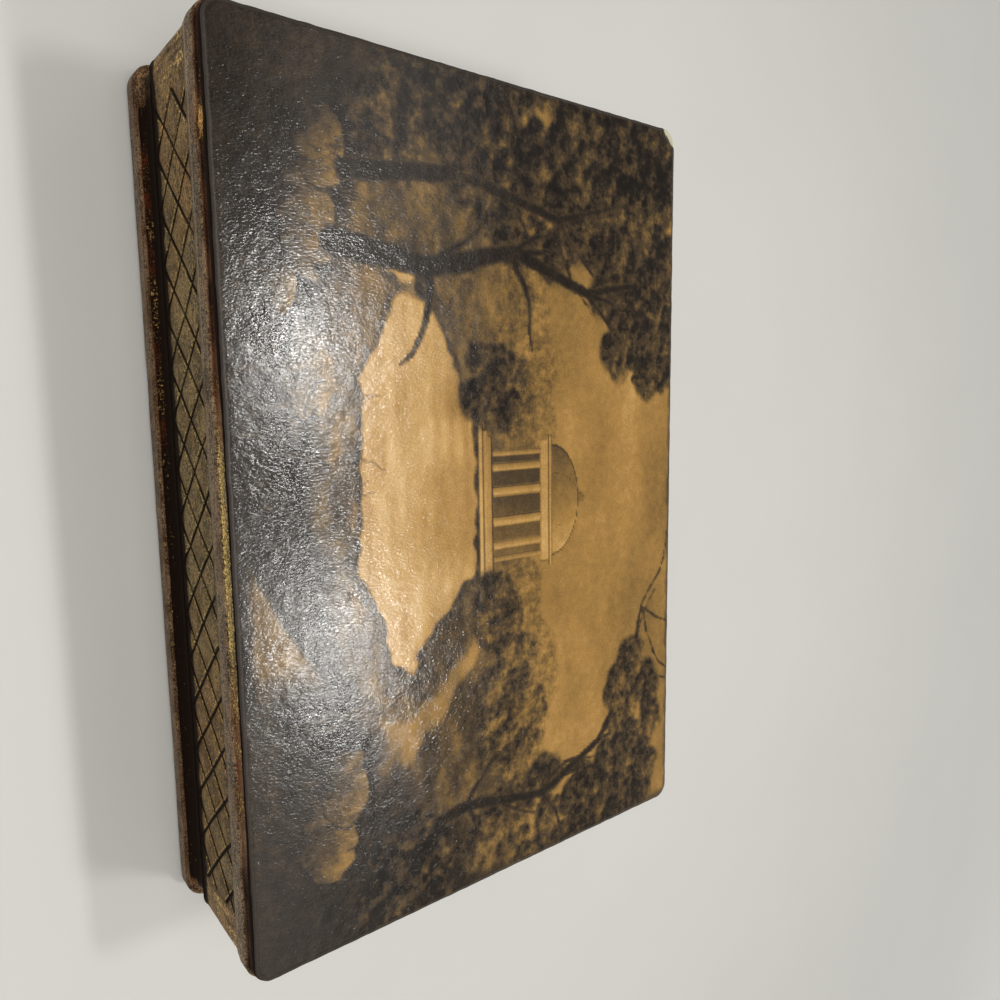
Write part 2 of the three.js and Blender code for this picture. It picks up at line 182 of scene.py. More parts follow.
def close_sheet(mesh, inner):
    """Closes an open sheet: its border is carried to `inner(position)` and filled there."""
    sheet = bmesh.new()
    sheet.from_mesh(mesh)
    border = [edge for edge in sheet.edges if edge.is_boundary]
    made = bmesh.ops.extrude_edge_only(sheet, edges=border)["geom"]
    for point in (item for item in made if isinstance(item, bmesh.types.BMVert)):
        point.co = inner(point.co)
    bmesh.ops.edgeloop_fill(sheet, edges=[edge for edge in sheet.edges if edge.is_boundary])
    bmesh.ops.recalc_face_normals(sheet, faces=sheet.faces)
    sheet.to_mesh(mesh)
    sheet.free()


def cut_blocks(piece, blocks):
    """Cuts blocks, each a low and a high corner, out of a piece."""
    cutter_mesh = bmesh.new()
    for low, high in blocks:
        size = Vector(high) - Vector(low)
        place = Matrix.Translation((Vector(low) + Vector(high)) / 2) @ Matrix.Diagonal((*size, 1))
        bmesh.ops.create_cube(cutter_mesh, size=1, matrix=place)
    mesh = bpy.data.meshes.new("cutter")
    cutter_mesh.to_mesh(mesh)
    cutter_mesh.free()
    cutter = bpy.data.objects.new("cutter", mesh)
    bpy.context.scene.collection.objects.link(cutter)
    modified(piece, "BOOLEAN", operation="DIFFERENCE", solver="EXACT", use_self=True, object=cutter)
    bpy.data.objects.remove(cutter)


def apply_modifiers(piece):
    """Turns what the modifiers make into the piece's own mesh."""
    graph = bpy.context.evaluated_depsgraph_get()
    mesh = bpy.data.meshes.new_from_object(piece.evaluated_get(graph))
    piece.modifiers.clear()
    piece.data = mesh


def modified(piece, kind, **settings):
    """Changes a piece's mesh by one modifier with the settings given."""
    modifier = piece.modifiers.new(kind, kind)
    for name, value in settings.items():
        setattr(modifier, name, value)
    apply_modifiers(piece)


# Nodes of the materials


def add_node(tree, kind, inputs=(), out=0, stops=(), **settings):
    """Adds a node with its settings, its colour stops, and a value or a link for each input."""
    node = tree.nodes.new(f"ShaderNode{kind}")
    for name, value in settings.items():
        setattr(node, name, value)
    for number, (place, code) in enumerate(stops):
        known = number < len(node.color_ramp.elements)
        stop = node.color_ramp.elements[number] if known else node.color_ramp.elements.new(place)
        stop.position = place
        stop.color = (*linear(code), 1)
    for key, value in dict(inputs).items():
        if isinstance(value, bpy.types.NodeSocket):
            tree.links.new(value, node.inputs[key])
        else:
            node.inputs[key].default_value = value
    return node.outputs[out] if node.outputs else None


def start_material(name):
    """A new material with an empty tree, and add_node for that tree."""
    material = bpy.data.materials.new(name)
    material.use_nodes = True
    material.node_tree.nodes.clear()
    return material, partial(add_node, material.node_tree)


def gilt_material(name, leaf, gilding, streak):
    """Bronze and gold leaf laid on red bole over gesso, then rubbed back and toned with brown glaze.

    The leaf is dull, mottled and brushed, the bole shows where it has worn, the glaze lies dark and
    matte in hollows, and the arrises are rubbed bright. The layers come from the mesh: glaze, which
    also lays painted shade; rubbing, which also lays painted highlights; bole; chipped gesso, which
    also lays one painted highlight line; and warmth.
    """
    material, add = start_material(name)
    layers = ("glaze", "rub", "bole", "bare", "warm")
    glaze, rub, bole, bare, warm = (add("Attribute", out="Fac", attribute_name=layer) for layer in layers)
    grain = add("Attribute", out="Vector", attribute_name="grain")
    place = add("TexCoord", out="Object")

    # Brush marks run along the member, 7 mm long and as wide as `streak`
    brushed = add("VectorMath", {0: grain, 1: (1 / (7 * MM), 1 / streak, 1 / streak)}, operation="MULTIPLY")
    strokes, patches, specks, grit = (
        add("TexNoise", {"Vector": vector, "Scale": 1 / size, "Detail": detail, "Roughness": roughness})
        for vector, size, detail, roughness in (
            (brushed, 1, 4, 0.6),
            (place, 7 * MM, 5, 0.62),
            (place, 0.8 * MM, 4, 0.7),
            (place, 0.42 * MM, 2, 0.6),
        )
    )

    # The leaf's tone comes from strokes, patches and specks together; glaze and rubbing break at specks
    blend = add("Math", {0: strokes, 1: 1.1, 2: patches}, operation="MULTIPLY_ADD")
    tone, glazing, rubbing = (
        add("Math", {0: specks, 1: share, 2: under}, operation="MULTIPLY_ADD")
        for share, under in ((2.4, blend), (0.9, glaze), (1.8, rub))
    )
    lightness, pits, flecks, worn_specks, worn_patches, clay_specks, glazed, rubbed, mottle, rough = (
        add("MapRange", {0: value, 1: low, 2: high, 3: first, 4: last})
        for value, low, high, first, last in (
            (tone, 2.1, 2.42, 0, 1),
            (grit, 0.42, 0.31, 0, 0.95),
            (grit, 0.59, 0.69, 0, 0.6),
            (specks, 0.6, 0.72, 0, 1),
            (patches, 0.5, 0.64, 0, 1),
            (specks, 0.66, 0.56, 0, 1),
            (glazing, 0.62, 1.08, 0, 1),
            (rubbing, 1.28, 1.6, 0, 1),
            (grit, 0.44, 0.58, 0, 1),
            (strokes, 0.3, 0.7, 0.42, 0.62),
        )
    )

    # Bole shows in worn specks, and all over where the mesh says so
    worn = add("Math", {0: worn_specks, 1: worn_patches}, operation="MULTIPLY")
    laid = add("Math", {0: clay_specks, 1: bole}, operation="MULTIPLY")
    clay = add("Math", {0: worn, 1: laid}, operation="MAXIMUM", use_clamp=True)

    # Fine pits hold old glaze and flecks of fresh leaf catch the light; then come bole, brown glaze with
    # painted shade, rubbed gold with painted highlights, mottled with what is left of the glaze, the
    # warmth of handling, and chipped gesso with a painted highlight line
    dull = (*(0.28 * part for part in leaf), 1)
    light = (*(min(1, 1.7 * part) for part in leaf), 1)
    brown, gold = (*gilding.glaze, 1), (*gilding.rubbed, 1)
    shade = (*(0.2 * part for part in gilding.rubbed), 1)
    old_gold = add("Mix", {0: mottle, 6: shade, 7: gold}, 2, data_type="RGBA")
    surface = dull
    for share, over, mode in (
        (lightness, light, "MIX"),
        (pits, brown, "MIX"),
        (flecks, gold, "MIX"),
        (clay, (*gilding.bole, 1), "MIX"),
        (glazed, brown, "MIX"),
        (rubbed, old_gold, "MIX"),
        (warm, (1.08, 0.87, 0.7, 1), "MULTIPLY"),
        (bare, (*gilding.ground, 1), "MIX"),
    ):
        surface = add("Mix", {0: share, 6: surface, 7: over}, 2, data_type="RGBA", blend_type=mode)

    # Metal where leaf shows, none where glaze, bole or ground covers it
    covered = glazed
    for cover in (clay, bare):
        covered = add("Math", {0: covered, 1: cover}, operation="MAXIMUM")
    metal = add("MapRange", {0: covered, 1: 0, 2: 1, 3: 0.5, 4: 0})
    metal = add("Math", {0: rubbed, 1: 0.4, 2: metal}, operation="MULTIPLY_ADD", use_clamp=True)
    rough = add("Mix", {0: glazed, 2: rough, 3: 0.8}, data_type="FLOAT")
    height = add("Math", {0: strokes, 1: 0.6, 2: specks}, operation="MULTIPLY_ADD")
    bump = add("Bump", {"Strength": 0.6, "Distance": 0.2 * MM, "Height": height})
    finish = {"Base Color": surface, "Metallic": metal, "Roughness": rough, "Normal": bump}
    add("OutputMaterial", {0: add("BsdfPrincipled", {**finish, "Specular IOR Level": 0.1})})
    return material


def print_material(picture):
    """A halftone print on paper, sealed with brushed picture varnish that has yellowed.

    The varnish gives a broad soft glare over a pebbled grain, and its yellow turns the light
    tones to gold. The drawing comes from the mesh: tone, texture, ink and edge.
    """
    material, add = start_material("varnished_paper_print")
    tone, texture, ink, edge = (
        add("Attribute", out="Fac", attribute_name=layer) for layer in ("tone", "texture", "ink", "edge")
    )
    place = add("TexCoord", out="Object")
    leaves, dots, stains = (
        add("TexNoise", {"Vector": place, "Scale": 1 / (size * MM), "Detail": detail, "Roughness": roughness})
        for size, detail, roughness in ((2.4, 4, 0.6), (0.5, 2, 0.6), (26, 3, 0.5))
    )

    # Tone of the drawing, broken up by leaves or strokes, then by the halftone's dots and stains
    drawn, dotted, aged = (
        add("MapRange", {0: value, 1: 0.3, 2: 0.7, 3: -reach, 4: reach})
        for value, reach in ((leaves, 0.5), (dots, 0.06), (stains, 0.05))
    )
    line = add("MapRange", {0: ink, 1: -0.2 * MM, 2: 0.3 * MM, 3: 0.32, 4: 1})
    tone = add("Math", {0: drawn, 1: texture, 2: tone}, operation="MULTIPLY_ADD")
    tone = add("Math", {0: tone, 1: dotted}, operation="ADD")
    tone = add("Math", {0: tone, 1: aged}, operation="ADD")
    tone = add("Math", {0: tone, 1: line}, operation="MULTIPLY", use_clamp=True)
    sepia = (
        (0.0, "#17110d"),
        (0.18, "#2f261d"),
        (0.36, "#54432c"),
        (0.55, "#856738"),
        (0.72, "#ad8447"),
        (0.86, "#cba161"),
        (1.0, "#e2bd84"),
    )
    surface = add("ValToRGB", {0: tone}, stops=sepia)

    # The trimmed edge is dark with handling and with painted shade where it rolls down, and has lost its gloss
    soil_and_shade = add("Math", {0: dots, 1: 0.9 * MM, 2: edge}, operation="MULTIPLY_ADD")
    soil_and_shade = add("MapRange", {0: soil_and_shade, 1: 0.7 * MM, 2: 1.5 * MM, 3: 0.9, 4: 0})
    surface = add("Mix", {0: soil_and_shade, 6: surface, 7: (*picture.rim_soil_and_shade, 1)}, 2, data_type="RGBA")
    rough = add("MapRange", {0: stains, 1: 0.35, 2: 0.65, 3: 0.12, 4: 0.19})
    rough = add("Math", {0: soil_and_shade, 1: 0.75, 2: rough}, operation="MULTIPLY_ADD")

    # Varnish: pebbles about 0.7 mm across, drawn out a little by the brush, over a finer grain
    stretch = (1 / (0.5 * MM), 1 / (1 * MM), 1 / (0.7 * MM))
    combed = add("VectorMath", {0: place, 1: stretch}, operation="MULTIPLY")
    pebbles = add("TexNoise", {"Vector": combed, "Scale": 1, "Detail": 2, "Distortion": 0.7})
    bump = add("Bump", {"Strength": 0.8, "Distance": picture.pebble_height, "Height": pebbles})
    finish = {"Base Color": surface, "Roughness": rough, "Normal": bump}
    add("OutputMaterial", {0: add("BsdfPrincipled", finish)})
    return material


def pile_material(name, shade, pile):
    """Cotton velvet or wool felt: short fibres that drink the light and shine at grazing angles.

    The nap lies this way and that in soft patches; its sheen is painted as colour that wanders between
    two depths.
    """
    material, add = start_material(name)
    place = add("TexCoord", out="Object")
    nap = add("TexNoise", {"Vector": place, "Scale": 1 / (11 * MM), "Detail": 4, "Distortion": 0.8})
    fibres = add("TexNoise", {"Vector": place, "Scale": 1 / pile, "Detail": 3, "Roughness": 0.75})
    depth = add("Math", {0: fibres, 1: 0.5, 2: nap}, operation="MULTIPLY_ADD")
    depth = add("MapRange", {0: depth, 1: 0.58, 2: 0.92})
    low, high = ((*(part * share for part in shade), 1) for share in (0.6, 1.25))
    finish = {
        "Base Color": add("Mix", {0: depth, 6: low, 7: high}, 2, data_type="RGBA"),
        "Normal": add("Bump", {"Strength": 0.6, "Distance": pile / 2, "Height": fibres}),
        "Roughness": 0.95,
        "Sheen Weight": 0.7,
        "Sheen Roughness": 0.35,
        "Sheen Tint": (*(min(1, part * 3) for part in shade), 1),
    }
    add("OutputMaterial", {0: add("BsdfPrincipled", finish)})
    return material


def satin_material(shade):
    """Acetate satin: long floats of bright yarn, drawn at 0.5 mm because real ones are too fine."""
    material, add = start_material("woven_satin")
    stretch = (1 / (6 * MM), 1 / (0.5 * MM), 1 / (0.5 * MM))
    floats = add("VectorMath", {0: add("TexCoord", out="Object"), 1: stretch}, operation="MULTIPLY")
    yarn = add("TexNoise", {"Vector": floats, "Scale": 1, "Detail": 3})
    low, high = ((*(part * share for part in shade), 1) for share in (0.8, 1.25))
    finish = {
        "Base Color": add("Mix", {0: yarn, 6: low, 7: high}, 2, data_type="RGBA"),
        "Roughness": add("MapRange", {0: yarn, 1: 0.3, 2: 0.7, 3: 0.3, 4: 0.44}),
        "Normal": add("Bump", {"Strength": 0.35, "Distance": 0.12 * MM, "Height": yarn}),
        "Sheen Weight": 0.25,
    }
    add("OutputMaterial", {0: add("BsdfPrincipled", finish)})
    return material


def brass_material(brass):
    """Rolled and stamped brass gone brown: bright where it rubs, dull in the corners."""
    material, add = start_material("tarnished_brass")
    place = add("TexCoord", out="Object")
    cloud = add("TexNoise", {"Vector": place, "Scale": 1 / (2.6 * MM), "Detail": 5, "Roughness": 0.65})
    scratch = (1 / (5 * MM), 1 / (0.25 * MM), 1 / (0.25 * MM))
    lines = add("VectorMath", {0: place, 1: scratch}, operation="MULTIPLY")
    rolled = add("TexNoise", {"Vector": lines, "Scale": 1, "Detail": 2})
    dull = add("MapRange", {0: cloud, 1: 0.44, 2: 0.68})
    bright, tarnish = (*brass.bright, 1), (*brass.tarnish, 1)
    finish = {
        "Base Color": add("Mix", {0: dull, 6: bright, 7: tarnish}, 2, data_type="RGBA"),
        "Roughness": add("MapRange", {0: cloud, 1: 0.35, 2: 0.7, 3: 0.26, 4: 0.55}),
        "Normal": add("Bump", {"Strength": 0.3, "Distance": 0.04 * MM, "Height": rolled}),
        "Metallic": 1,
    }
    add("OutputMaterial", {0: add("BsdfPrincipled", finish)})
    return material


# Sizes and colours that a user would change


class GiltBoxGilding(bpy.types.PropertyGroup):
    wall_leaf: colour("Wall leaf", "Toned leaf on the walls", "#7c6742")
    edge_leaf: colour("Edge leaf", "Toned leaf on the lid and base", "#746250")
    bole: colour("Bole", "Red clay under the leaf", "#84441c")
    glaze: colour("Glaze", "Brown glaze in the hollows", "#160b03")
    rubbed: colour("Rubbed gold", "Gold on the arrises", "#f6d88e")
    ground: colour("Ground", "Gesso where the surface is chipped", "#cfc9ad")
    thickness: length("Wall thickness", "Thickness of a wall", 8)
    corner: length("Wall corner", "Radius of the wall's upright corners", 3.5)
    board_corner: length("Board corner", "Radius of the lid's and base's corners", 6)
    pitch: length("Lattice pitch", "Width of one diamond", 13.6)
    rise: length("Lattice rise", "Height of one diamond", 15.3)
    shift: length("Lattice shift", "Place of a crossing beside the wall's middle", 1.8)
    middle: length("Lattice middle", "Height of a row of crossings above the wall's foot", 15.3)
    plain_corner: length("Plain corner", "Plain stretch at each end of a wall", 12.5)
    margin: length("Lattice margin", "Plain stretch above and below the lattice", 0.5)
    groove_width: length("Groove width", "Width of a tooled line", 1.5)
    groove_depth: length("Groove depth", "Depth of a tooled line", 0.42)


class GiltBoxMouldings(bpy.types.PropertyGroup):
    lid_step: length("Lid step", "How far the lid's upper fillet stands back", 0.95)
    lid_fillet: length("Lid fillet", "Height of the lid's upper fillet", 2.3)
    lid_hollow: length("Lid hollow", "Radius of the hollow under the fillet", 0.5)
    lid_band_round: length("Lid band round", "Radius of the band's arris", 0.45)
    lid_top_round: length("Lid top round", "Radius of the lid's top arris", 0.8)
    lid_under_round: length("Lid under round", "Radius of the lid's lower arris", 0.8)
    lid_tuck: length("Lid tuck", "How far the foot of the lid's band draws in", 0.35)
    base_under_round: length("Base under round", "Radius of the base's lower arris", 1.4)
    base_band: length("Base band", "Height of the base's band", 6.8)
    base_top_round: length("Base top round", "Radius of the band's upper arris", 0.7)
    base_ledge: length("Base ledge", "Width of the ledge beside the hollow", 0.2)
    hollow_foot: length("Hollow foot", "Height of the hollow's lower curve", 4)
    hollow_depth: length("Hollow depth", "How far the hollow goes in behind the wall", 1)
    base_lip: length("Base lip", "How far the hollow's top stands out from the wall", 0.3)
    waviness: length("Waviness", "How far the gesso wanders from true", 0.12)


class GiltBoxPicture(bpy.types.PropertyGroup):
    # The rim colour is the soil on the paper's edge and the painted shade where the edge rolls down
    rim_soil_and_shade: colour("Rim", "Soiled edge of the paper", "#2a2019")
    margin: length("Margin", "Bare strip round the paper", 0.3)
    chip: length("Chip", "Size of the torn rear corner", 6.5)
    grid: length("Drawing grid", "Spacing of the points that hold the drawing", 0.64)
    pebble_height: length("Pebble height", "Relief of the varnish", 0.08)


class GiltBoxLining(bpy.types.PropertyGroup):
    velvet: colour("Velvet", "Velvet on cards, pads and rolls", "#5e1b22")
    satin: colour("Satin", "Satin under the lid", "#6b2229")
    felt: colour("Felt", "Felt under the base", "#3a4531")
    pile: length("Pile", "Grain of the velvet as drawn", 0.3)


class GiltBoxBrass(bpy.types.PropertyGroup):
    bright: colour("Bright brass", "Rubbed brass", "#b98f4a")
    tarnish: colour("Tarnish", "Brown tarnish on brass", "#5d4322")
    leaf_thickness: length("Leaf thickness", "Thickness of a hinge leaf", 1)
    leaf_sink: length("Leaf sink", "How far a leaf lies below the seam", 0.1)
    running_gap: length("Running gap", "Room round the hinge", 0.3)


class GiltBoxStage(bpy.types.PropertyGroup):
    floor: colour("Floor", "Pale paper under the box", "#e0dfda")
    ceiling_power: strength("Ceiling", "Power of the lamp above", 3.9)
    skylight_power: strength("Skylight", "Power of the skylight", 1.35)
    lamp_power: strength("Window", "Power of each window lamp", 1.8)
    fill_power: strength("Fill", "Power of the fill lamp", 0.8)
    daylight: FloatProperty(name="Daylight", description="Strength of the even light", default=0.16)


# Moulded boards


def board_outline(size_x, size_y, radius, spacing):
    """Points, outward directions and distance round a board, from the middle of its back."""
    inner = np.array([size_x / 2 - radius, size_y / 2 - radius])
    points = []
    outward = []
    for quarter, signs in enumerate(((-1, 1), (-1, -1), (1, -1), (1, 1))):
        for x, y in arc(0, 0, 1, 1, 90 + 90 * quarter, 180 + 90 * quarter, 10):
            points.append(inner * signs + radius * np.array([x, y]))
            outward.append((x, y))
    fine_points = []
    fine_outward = []
    for here in range(len(points)):
        there = (here + 1) % len(points)
        gap = points[there] - points[here]
        count = max(1, round(np.linalg.norm(gap) / spacing))
        for step in range(count):
            fine_points.append(points[here] + gap * step / count)
            fine_outward.append(outward[here])
    fine_points = np.array(fine_points)
    ahead = np.linalg.norm(np.roll(fine_points, -1, axis=0) - fine_points, axis=1)
    return fine_points, np.array(fine_outward), np.concatenate([[0], np.cumsum(ahead)[:-1]])


def loft_board(node, radius, profile, waviness, seed):
    """A board whose edge follows a profile of inset and height; its mesh, points and rows."""
    low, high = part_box(node)
    spacing, step = 0.9 * MM, 0.45 * MM
    outline, outward, along = board_outline(high.x - low.x, high.y - low.y, radius, spacing)
    rows = divided(profile, step)
    inset = rows[:, 0, None] + np.zeros(len(outline))
    level = rows[:, 1, None] + np.zeros(len(outline))
    place = np.stack([
        outline[:, 0] - outward[:, 0] * inset,
        outline[:, 1] - outward[:, 1] * inset,
        low.z + level,
    ], axis=-1).reshape(-1, 3)
    inset, level = inset.ravel(), level.ravel()

    # The gesso wanders inward only, and lies true at the top and bottom faces
    wander = 0.5 + 0.5 * smooth_noise(place, 9 * MM, seed, 2)
    dents = ramp(smooth_noise(place, 3.5 * MM, seed + 1), 0.45, 0.9)
    away = waviness * (wander + 0.8 * dents)
    away *= ramp(np.minimum(level, rows[-1, 1] - level), 0, 0.6 * MM)
    place[:, :2] -= np.tile(outward, (len(rows), 1)) * away[:, None]

    count = len(outline)
    mesh = new_mesh(node, place, tube_faces(len(rows), count))
    grain = np.stack([np.tile(along, len(rows)), inset, level], axis=1)
    grain[:count], grain[-count:] = place[:count], place[-count:]
    return mesh, place, inset, level, grain


def hinge_blocks(brass, up):
    """Mortises for both hinges: in the lid if `up` is 1, in the wall if it is -1."""
    blocks = []
    for side in ("left", "right"):
        leaf_low, leaf_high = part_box(f"hinge_{side}_lid_leaf")
        pin_low, pin_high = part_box(f"hinge_{side}_pin")
        seam = (pin_low.z + pin_high.z) / 2
        pin_y = (pin_low.y + pin_high.y) / 2
        gap = brass.running_gap
        room = (leaf_high.z - leaf_low.z) / 2 + gap
        past = 6 * MM
        for front, depth in (
            (leaf_low.y - gap, brass.leaf_sink + brass.leaf_thickness),
            (pin_y - room, room),
        ):
            low_z, high_z = (seam - past, seam + depth) if up > 0 else (seam - depth, seam + past)
            low = (leaf_low.x - gap, front, low_z)
            blocks.append((low, (leaf_high.x + gap, pin_y + past, high_z)))
    return blocks


def make_lid_board(boxes):
    """Lid board: fillet, hollow and band, the band's arris rubbed to gold along the front, with painted
    highlight and shade.
    """
    gilding, edge = boxes.gilding, boxes.mouldings
    low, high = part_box("lid_board")
    thickness = high.z - low.z
    fillet_foot = thickness - edge.lid_top_round - edge.lid_fillet
    hollow_foot = fillet_foot - edge.lid_hollow
    under, band, top = edge.lid_under_round, edge.lid_band_round, edge.lid_top_round
    tuck, ridge = edge.lid_tuck, 0.42 * hollow_foot
    profile = [
        *arc(tuck + under, under, under, under, 270, 180),
        (0.25 * tuck, ridge - 0.5 * MM),
        (0, ridge),
        *arc(band + 0.2 * tuck, hollow_foot - band, band, band, 180, 90),
        *arc(edge.lid_step - edge.lid_hollow, fillet_foot, edge.lid_hollow, edge.lid_hollow, 270, 360),
        *arc(edge.lid_step + top, thickness - top, top, top, 180, 90),
    ]
    mesh, place, _, level, grain = loft_board("lid_board", gilding.board_corner, profile, edge.waviness, 11)
    x, y = place[:, 0], place[:, 1]
    blotch = smooth_noise(place, 7 * MM, 12, 2)
    front = ramp(y, -0.4 * high.y, -0.8 * high.y)

    # The front fillet is rubbed to gold from the middle to the right, and hardly at the left; the middle also
    # gets a painted highlight, strongest on the hollow and the fillet's foot, which face up
    golden = ramp(x, -52 * MM, -20 * MM) * ramp(x, 98 * MM, 78 * MM) * front
    bright = ramp(x, -32 * MM, -10 * MM) * ramp(x, 46 * MM, 26 * MM) * front
    amber = np.exp(-(((x + 94 * MM) / (4.5 * MM)) ** 2)) * front

    # Zones: the fillet with its hollow, the near-black crest beside the paper, the underside; the dark of the
    # crest and of the lower arris is partly painted shade
    fillet = ramp(level, hollow_foot - 0.15 * MM, hollow_foot + 0.2 * MM)
    dark_from = thickness - top * (1.9 - 1.2 * golden)
    crest = ramp(level - dark_from, 0, 0.35 * MM)
    below = ramp(level, 1.1 * MM, 0.3 * MM)
    # Painted highlight: the fillet's foot and its hollow face the light from above and are painted brighter
    lit = ramp(level, fillet_foot + 1.5 * MM, fillet_foot + 0.6 * MM)
    gold_and_highlight = 0.26 * golden + (0.08 + 0.34 * lit) * bright - 0.1 * ramp(x, 58 * MM, 70 * MM)
    rub = fillet * (1 - crest) * (0.14 + gold_and_highlight + 0.2 * blotch + 0.5 * amber)

    # Glaze is thin on the band and gold, heavy on the crest and underneath, where it also lays painted shade
    glaze = np.maximum(1.1 * crest, fillet * (0.42 - 0.26 * golden))
    glaze = np.maximum(glaze, 0.55 * below) + 0.16 + 0.16 * blotch
    bole = 0.5 * fillet * (1 - crest) * (1 - bright) * (1 - 0.7 * ramp(x, 60 * MM, 100 * MM))
    warm = (0.2 + 0.3 * blotch + fillet * (0.6 - 0.6 * golden)) * (1 - fillet * bright) + amber
    # Painted highlight: a thin pale line along the band's ridge, most at the left of the front, laid in the
    # gesso's colour
    line = np.exp(-(((level - ridge) / (0.3 * MM)) ** 2))
    line *= 0.42 * (0.3 + 0.7 * ramp(x, -36 * MM, -52 * MM) * front)
    torn = (-x + y) - (high.x + high.y - edge.lid_step * 2 - boxes.picture.chip * 0.95)
    bare = ramp(torn + 0.4 * MM * blotch, -0.2 * MM, 0.3 * MM) * ramp(
        level, thickness - 1.5 * MM, thickness - 0.7 * MM
    )
    bare = np.maximum(bare, line)
    glaze[level > thickness - 0.01 * MM] = 0.9
    for flat_face in (glaze, rub, bole, warm):
        flat_face[level < 0.01 * MM] = 0.3
    paint(
        mesh,
        glaze=glaze,
        rub=rub,
        bole=bole,
        bare=bare,
        warm=np.clip(warm, 0, 1),
        grain=grain,
    )
    material = gilt_material("toned_leaf_on_mouldings", gilding.edge_leaf, gilding, 0.6 * MM)
    piece = new_piece("moulded_lid_board", mesh, material)
    cut_blocks(piece, hinge_blocks(boxes.brass, 1))
    settle(piece, "lid", "moulding", "lid_board")


def make_base_board(boxes):
    """Base board: a toned band, a red-brown ledge with specks of gold and a deep dark hollow."""
    gilding, edge = boxes.gilding, boxes.mouldings
    low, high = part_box("base_board")
    thickness = high.z - low.z
    wall_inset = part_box("wall_front")[0].y - low.y
    under, top, ledge = edge.base_under_round, edge.base_top_round, edge.base_band
    start = top + edge.base_ledge
    turn = ledge + edge.hollow_foot
    deepest, lip = wall_inset + edge.hollow_depth, wall_inset - edge.base_lip
    profile = [
        *arc(under, under, under, under, 270, 180),
        *arc(top, ledge - top, top, top, 180, 90),
        *arc(start, turn, deepest - start, edge.hollow_foot, 270, 360),
        *arc(lip, turn, deepest - lip, thickness - turn, 0, 90)[1:],
    ]
    mesh, place, inset, level, grain = loft_board(
        "base_board", gilding.board_corner, profile, edge.waviness, 21
    )
    blotch = smooth_noise(place, 6 * MM, 22, 2)
    x = place[:, 0]
    front = ramp(place[:, 1], 0.2 * low.y, 0.8 * low.y)
    left = ramp(x, 4 * MM, -24 * MM) * ramp(x, -108 * MM, -96 * MM) * front

    # Zones: the arris with its ledge, the foot of the hollow, the dark hollow, the underside, whose dark beside
    # the floor is painted shade
    arris = ramp(level, ledge - 1.1 * MM, ledge - 0.5 * MM) * ramp(inset, start + 0.25 * MM, start)
    hollow = ramp(level, ledge - 0.1 * MM, ledge) * ramp(inset, start, start + 0.3 * MM)
    corner = ramp(np.abs(x - 2 * MM) + 2 * MM * blotch, 108 * MM, 115 * MM)
    foot = hollow * ramp(level, ledge + 2.2 * MM, ledge + 1.2 * MM)
    floor_shade = ramp(level, 1.6 * MM, 0.4 * MM)

    # Red clay and specks of gold show through at the hollow's foot, most at the left of the front
    glaze = np.maximum(1.15 * hollow * (1 - 0.72 * corner) - (0.25 + 0.37 * left) * foot, 0.6 * floor_shade)
    glaze += 0.16 + 0.16 * blotch + 0.16 * arris
    bole = foot * (0.8 + 0.3 * left) * (1 - corner) + 0.08 * arris
    # The arris is rubbed all along; the extra gold in the middle of the front is a painted highlight
    rub = arris * (0.12 + 0.13 * ramp(x, -30 * MM, -10 * MM) * ramp(x, 90 * MM, 60 * MM) * front)
    rub += 0.1 * blotch + foot * (0.1 + 0.18 * left)
    warm = np.clip(0.3 + 0.4 * blotch + 1.2 * foot + 0.3 * arris, 0, 1)
    paint(mesh, glaze=glaze, rub=rub, bole=bole, bare=np.zeros(len(place)), warm=warm, grain=grain)
    material = gilt_material("toned_leaf_on_base", gilding.edge_leaf, gilding, 0.6 * MM)
    piece = new_piece("moulded_base_board", mesh, material)
    settle(piece, "case", "moulding", "base_board")


# Walls tooled with the lattice


def lattice_lines(gilding, reach):
    """Places of the mesh lines of one slope, close together at each tooled line."""
    steepness = math.sin(math.atan2(gilding.rise, gilding.pitch))
    half = gilding.groove_width / 2 / steepness
    near = [share * half for share in (-1.35, -1, -0.66, -0.33, 0, 0.33, 0.66, 1, 1.35)]
    far = np.linspace(near[-1], gilding.pitch + near[0], 20)[1:-1]
    period = np.concatenate([near, far])
    turns = range(math.floor(-reach / gilding.pitch) - 1, math.ceil(reach / gilding.pitch) + 1)
    return np.concatenate([gilding.shift + turn * gilding.pitch + period for turn in turns])


def lattice_sheet(gilding, run, height):
    """The wall's face laid flat: a net of diamonds along the tooled lines, trimmed to size."""
    slope = gilding.rise / gilding.pitch
    lines = lattice_lines(gilding, run + height / slope)
    falling, rising = np.meshgrid(lines, lines, indexing="ij")
    along = (falling + rising) / 2
    level = gilding.middle + (falling - rising) / 2 * slope
    count = len(lines)
    cells = net_faces(count, count)
    across, up = along.ravel()[cells], level.ravel()[cells]
    kept = (across.max(1) > -run) & (across.min(1) < run) & (up.max(1) > 0) & (up.min(1) < height)
    cells = cells[kept]
    used, renumbered = np.unique(cells, return_inverse=True)
    points = np.stack([along.ravel()[used], np.zeros(len(used)), level.ravel()[used]], axis=1)
    mesh = new_mesh("lattice", points, renumbered.reshape(-1, 4).tolist())
    sheet = bmesh.new()
    sheet.from_mesh(mesh)
    for point, direction in (
        ((run, 0, 0), (1, 0, 0)),
        ((-run, 0, 0), (-1, 0, 0)),
        ((0, 0, height), (0, 0, 1)),
        ((0, 0, 0), (0, 0, -1)),
    ):
        everything = [*sheet.verts, *sheet.edges, *sheet.faces]
        bmesh.ops.bisect_plane(
            sheet, geom=everything, plane_co=point, plane_no=direction, clear_outer=True, dist=1e-7
        )
    bmesh.ops.remove_doubles(sheet, verts=sheet.verts, dist=0.01 * MM)
    sheet.to_mesh(mesh)
    sheet.free()
    return mesh


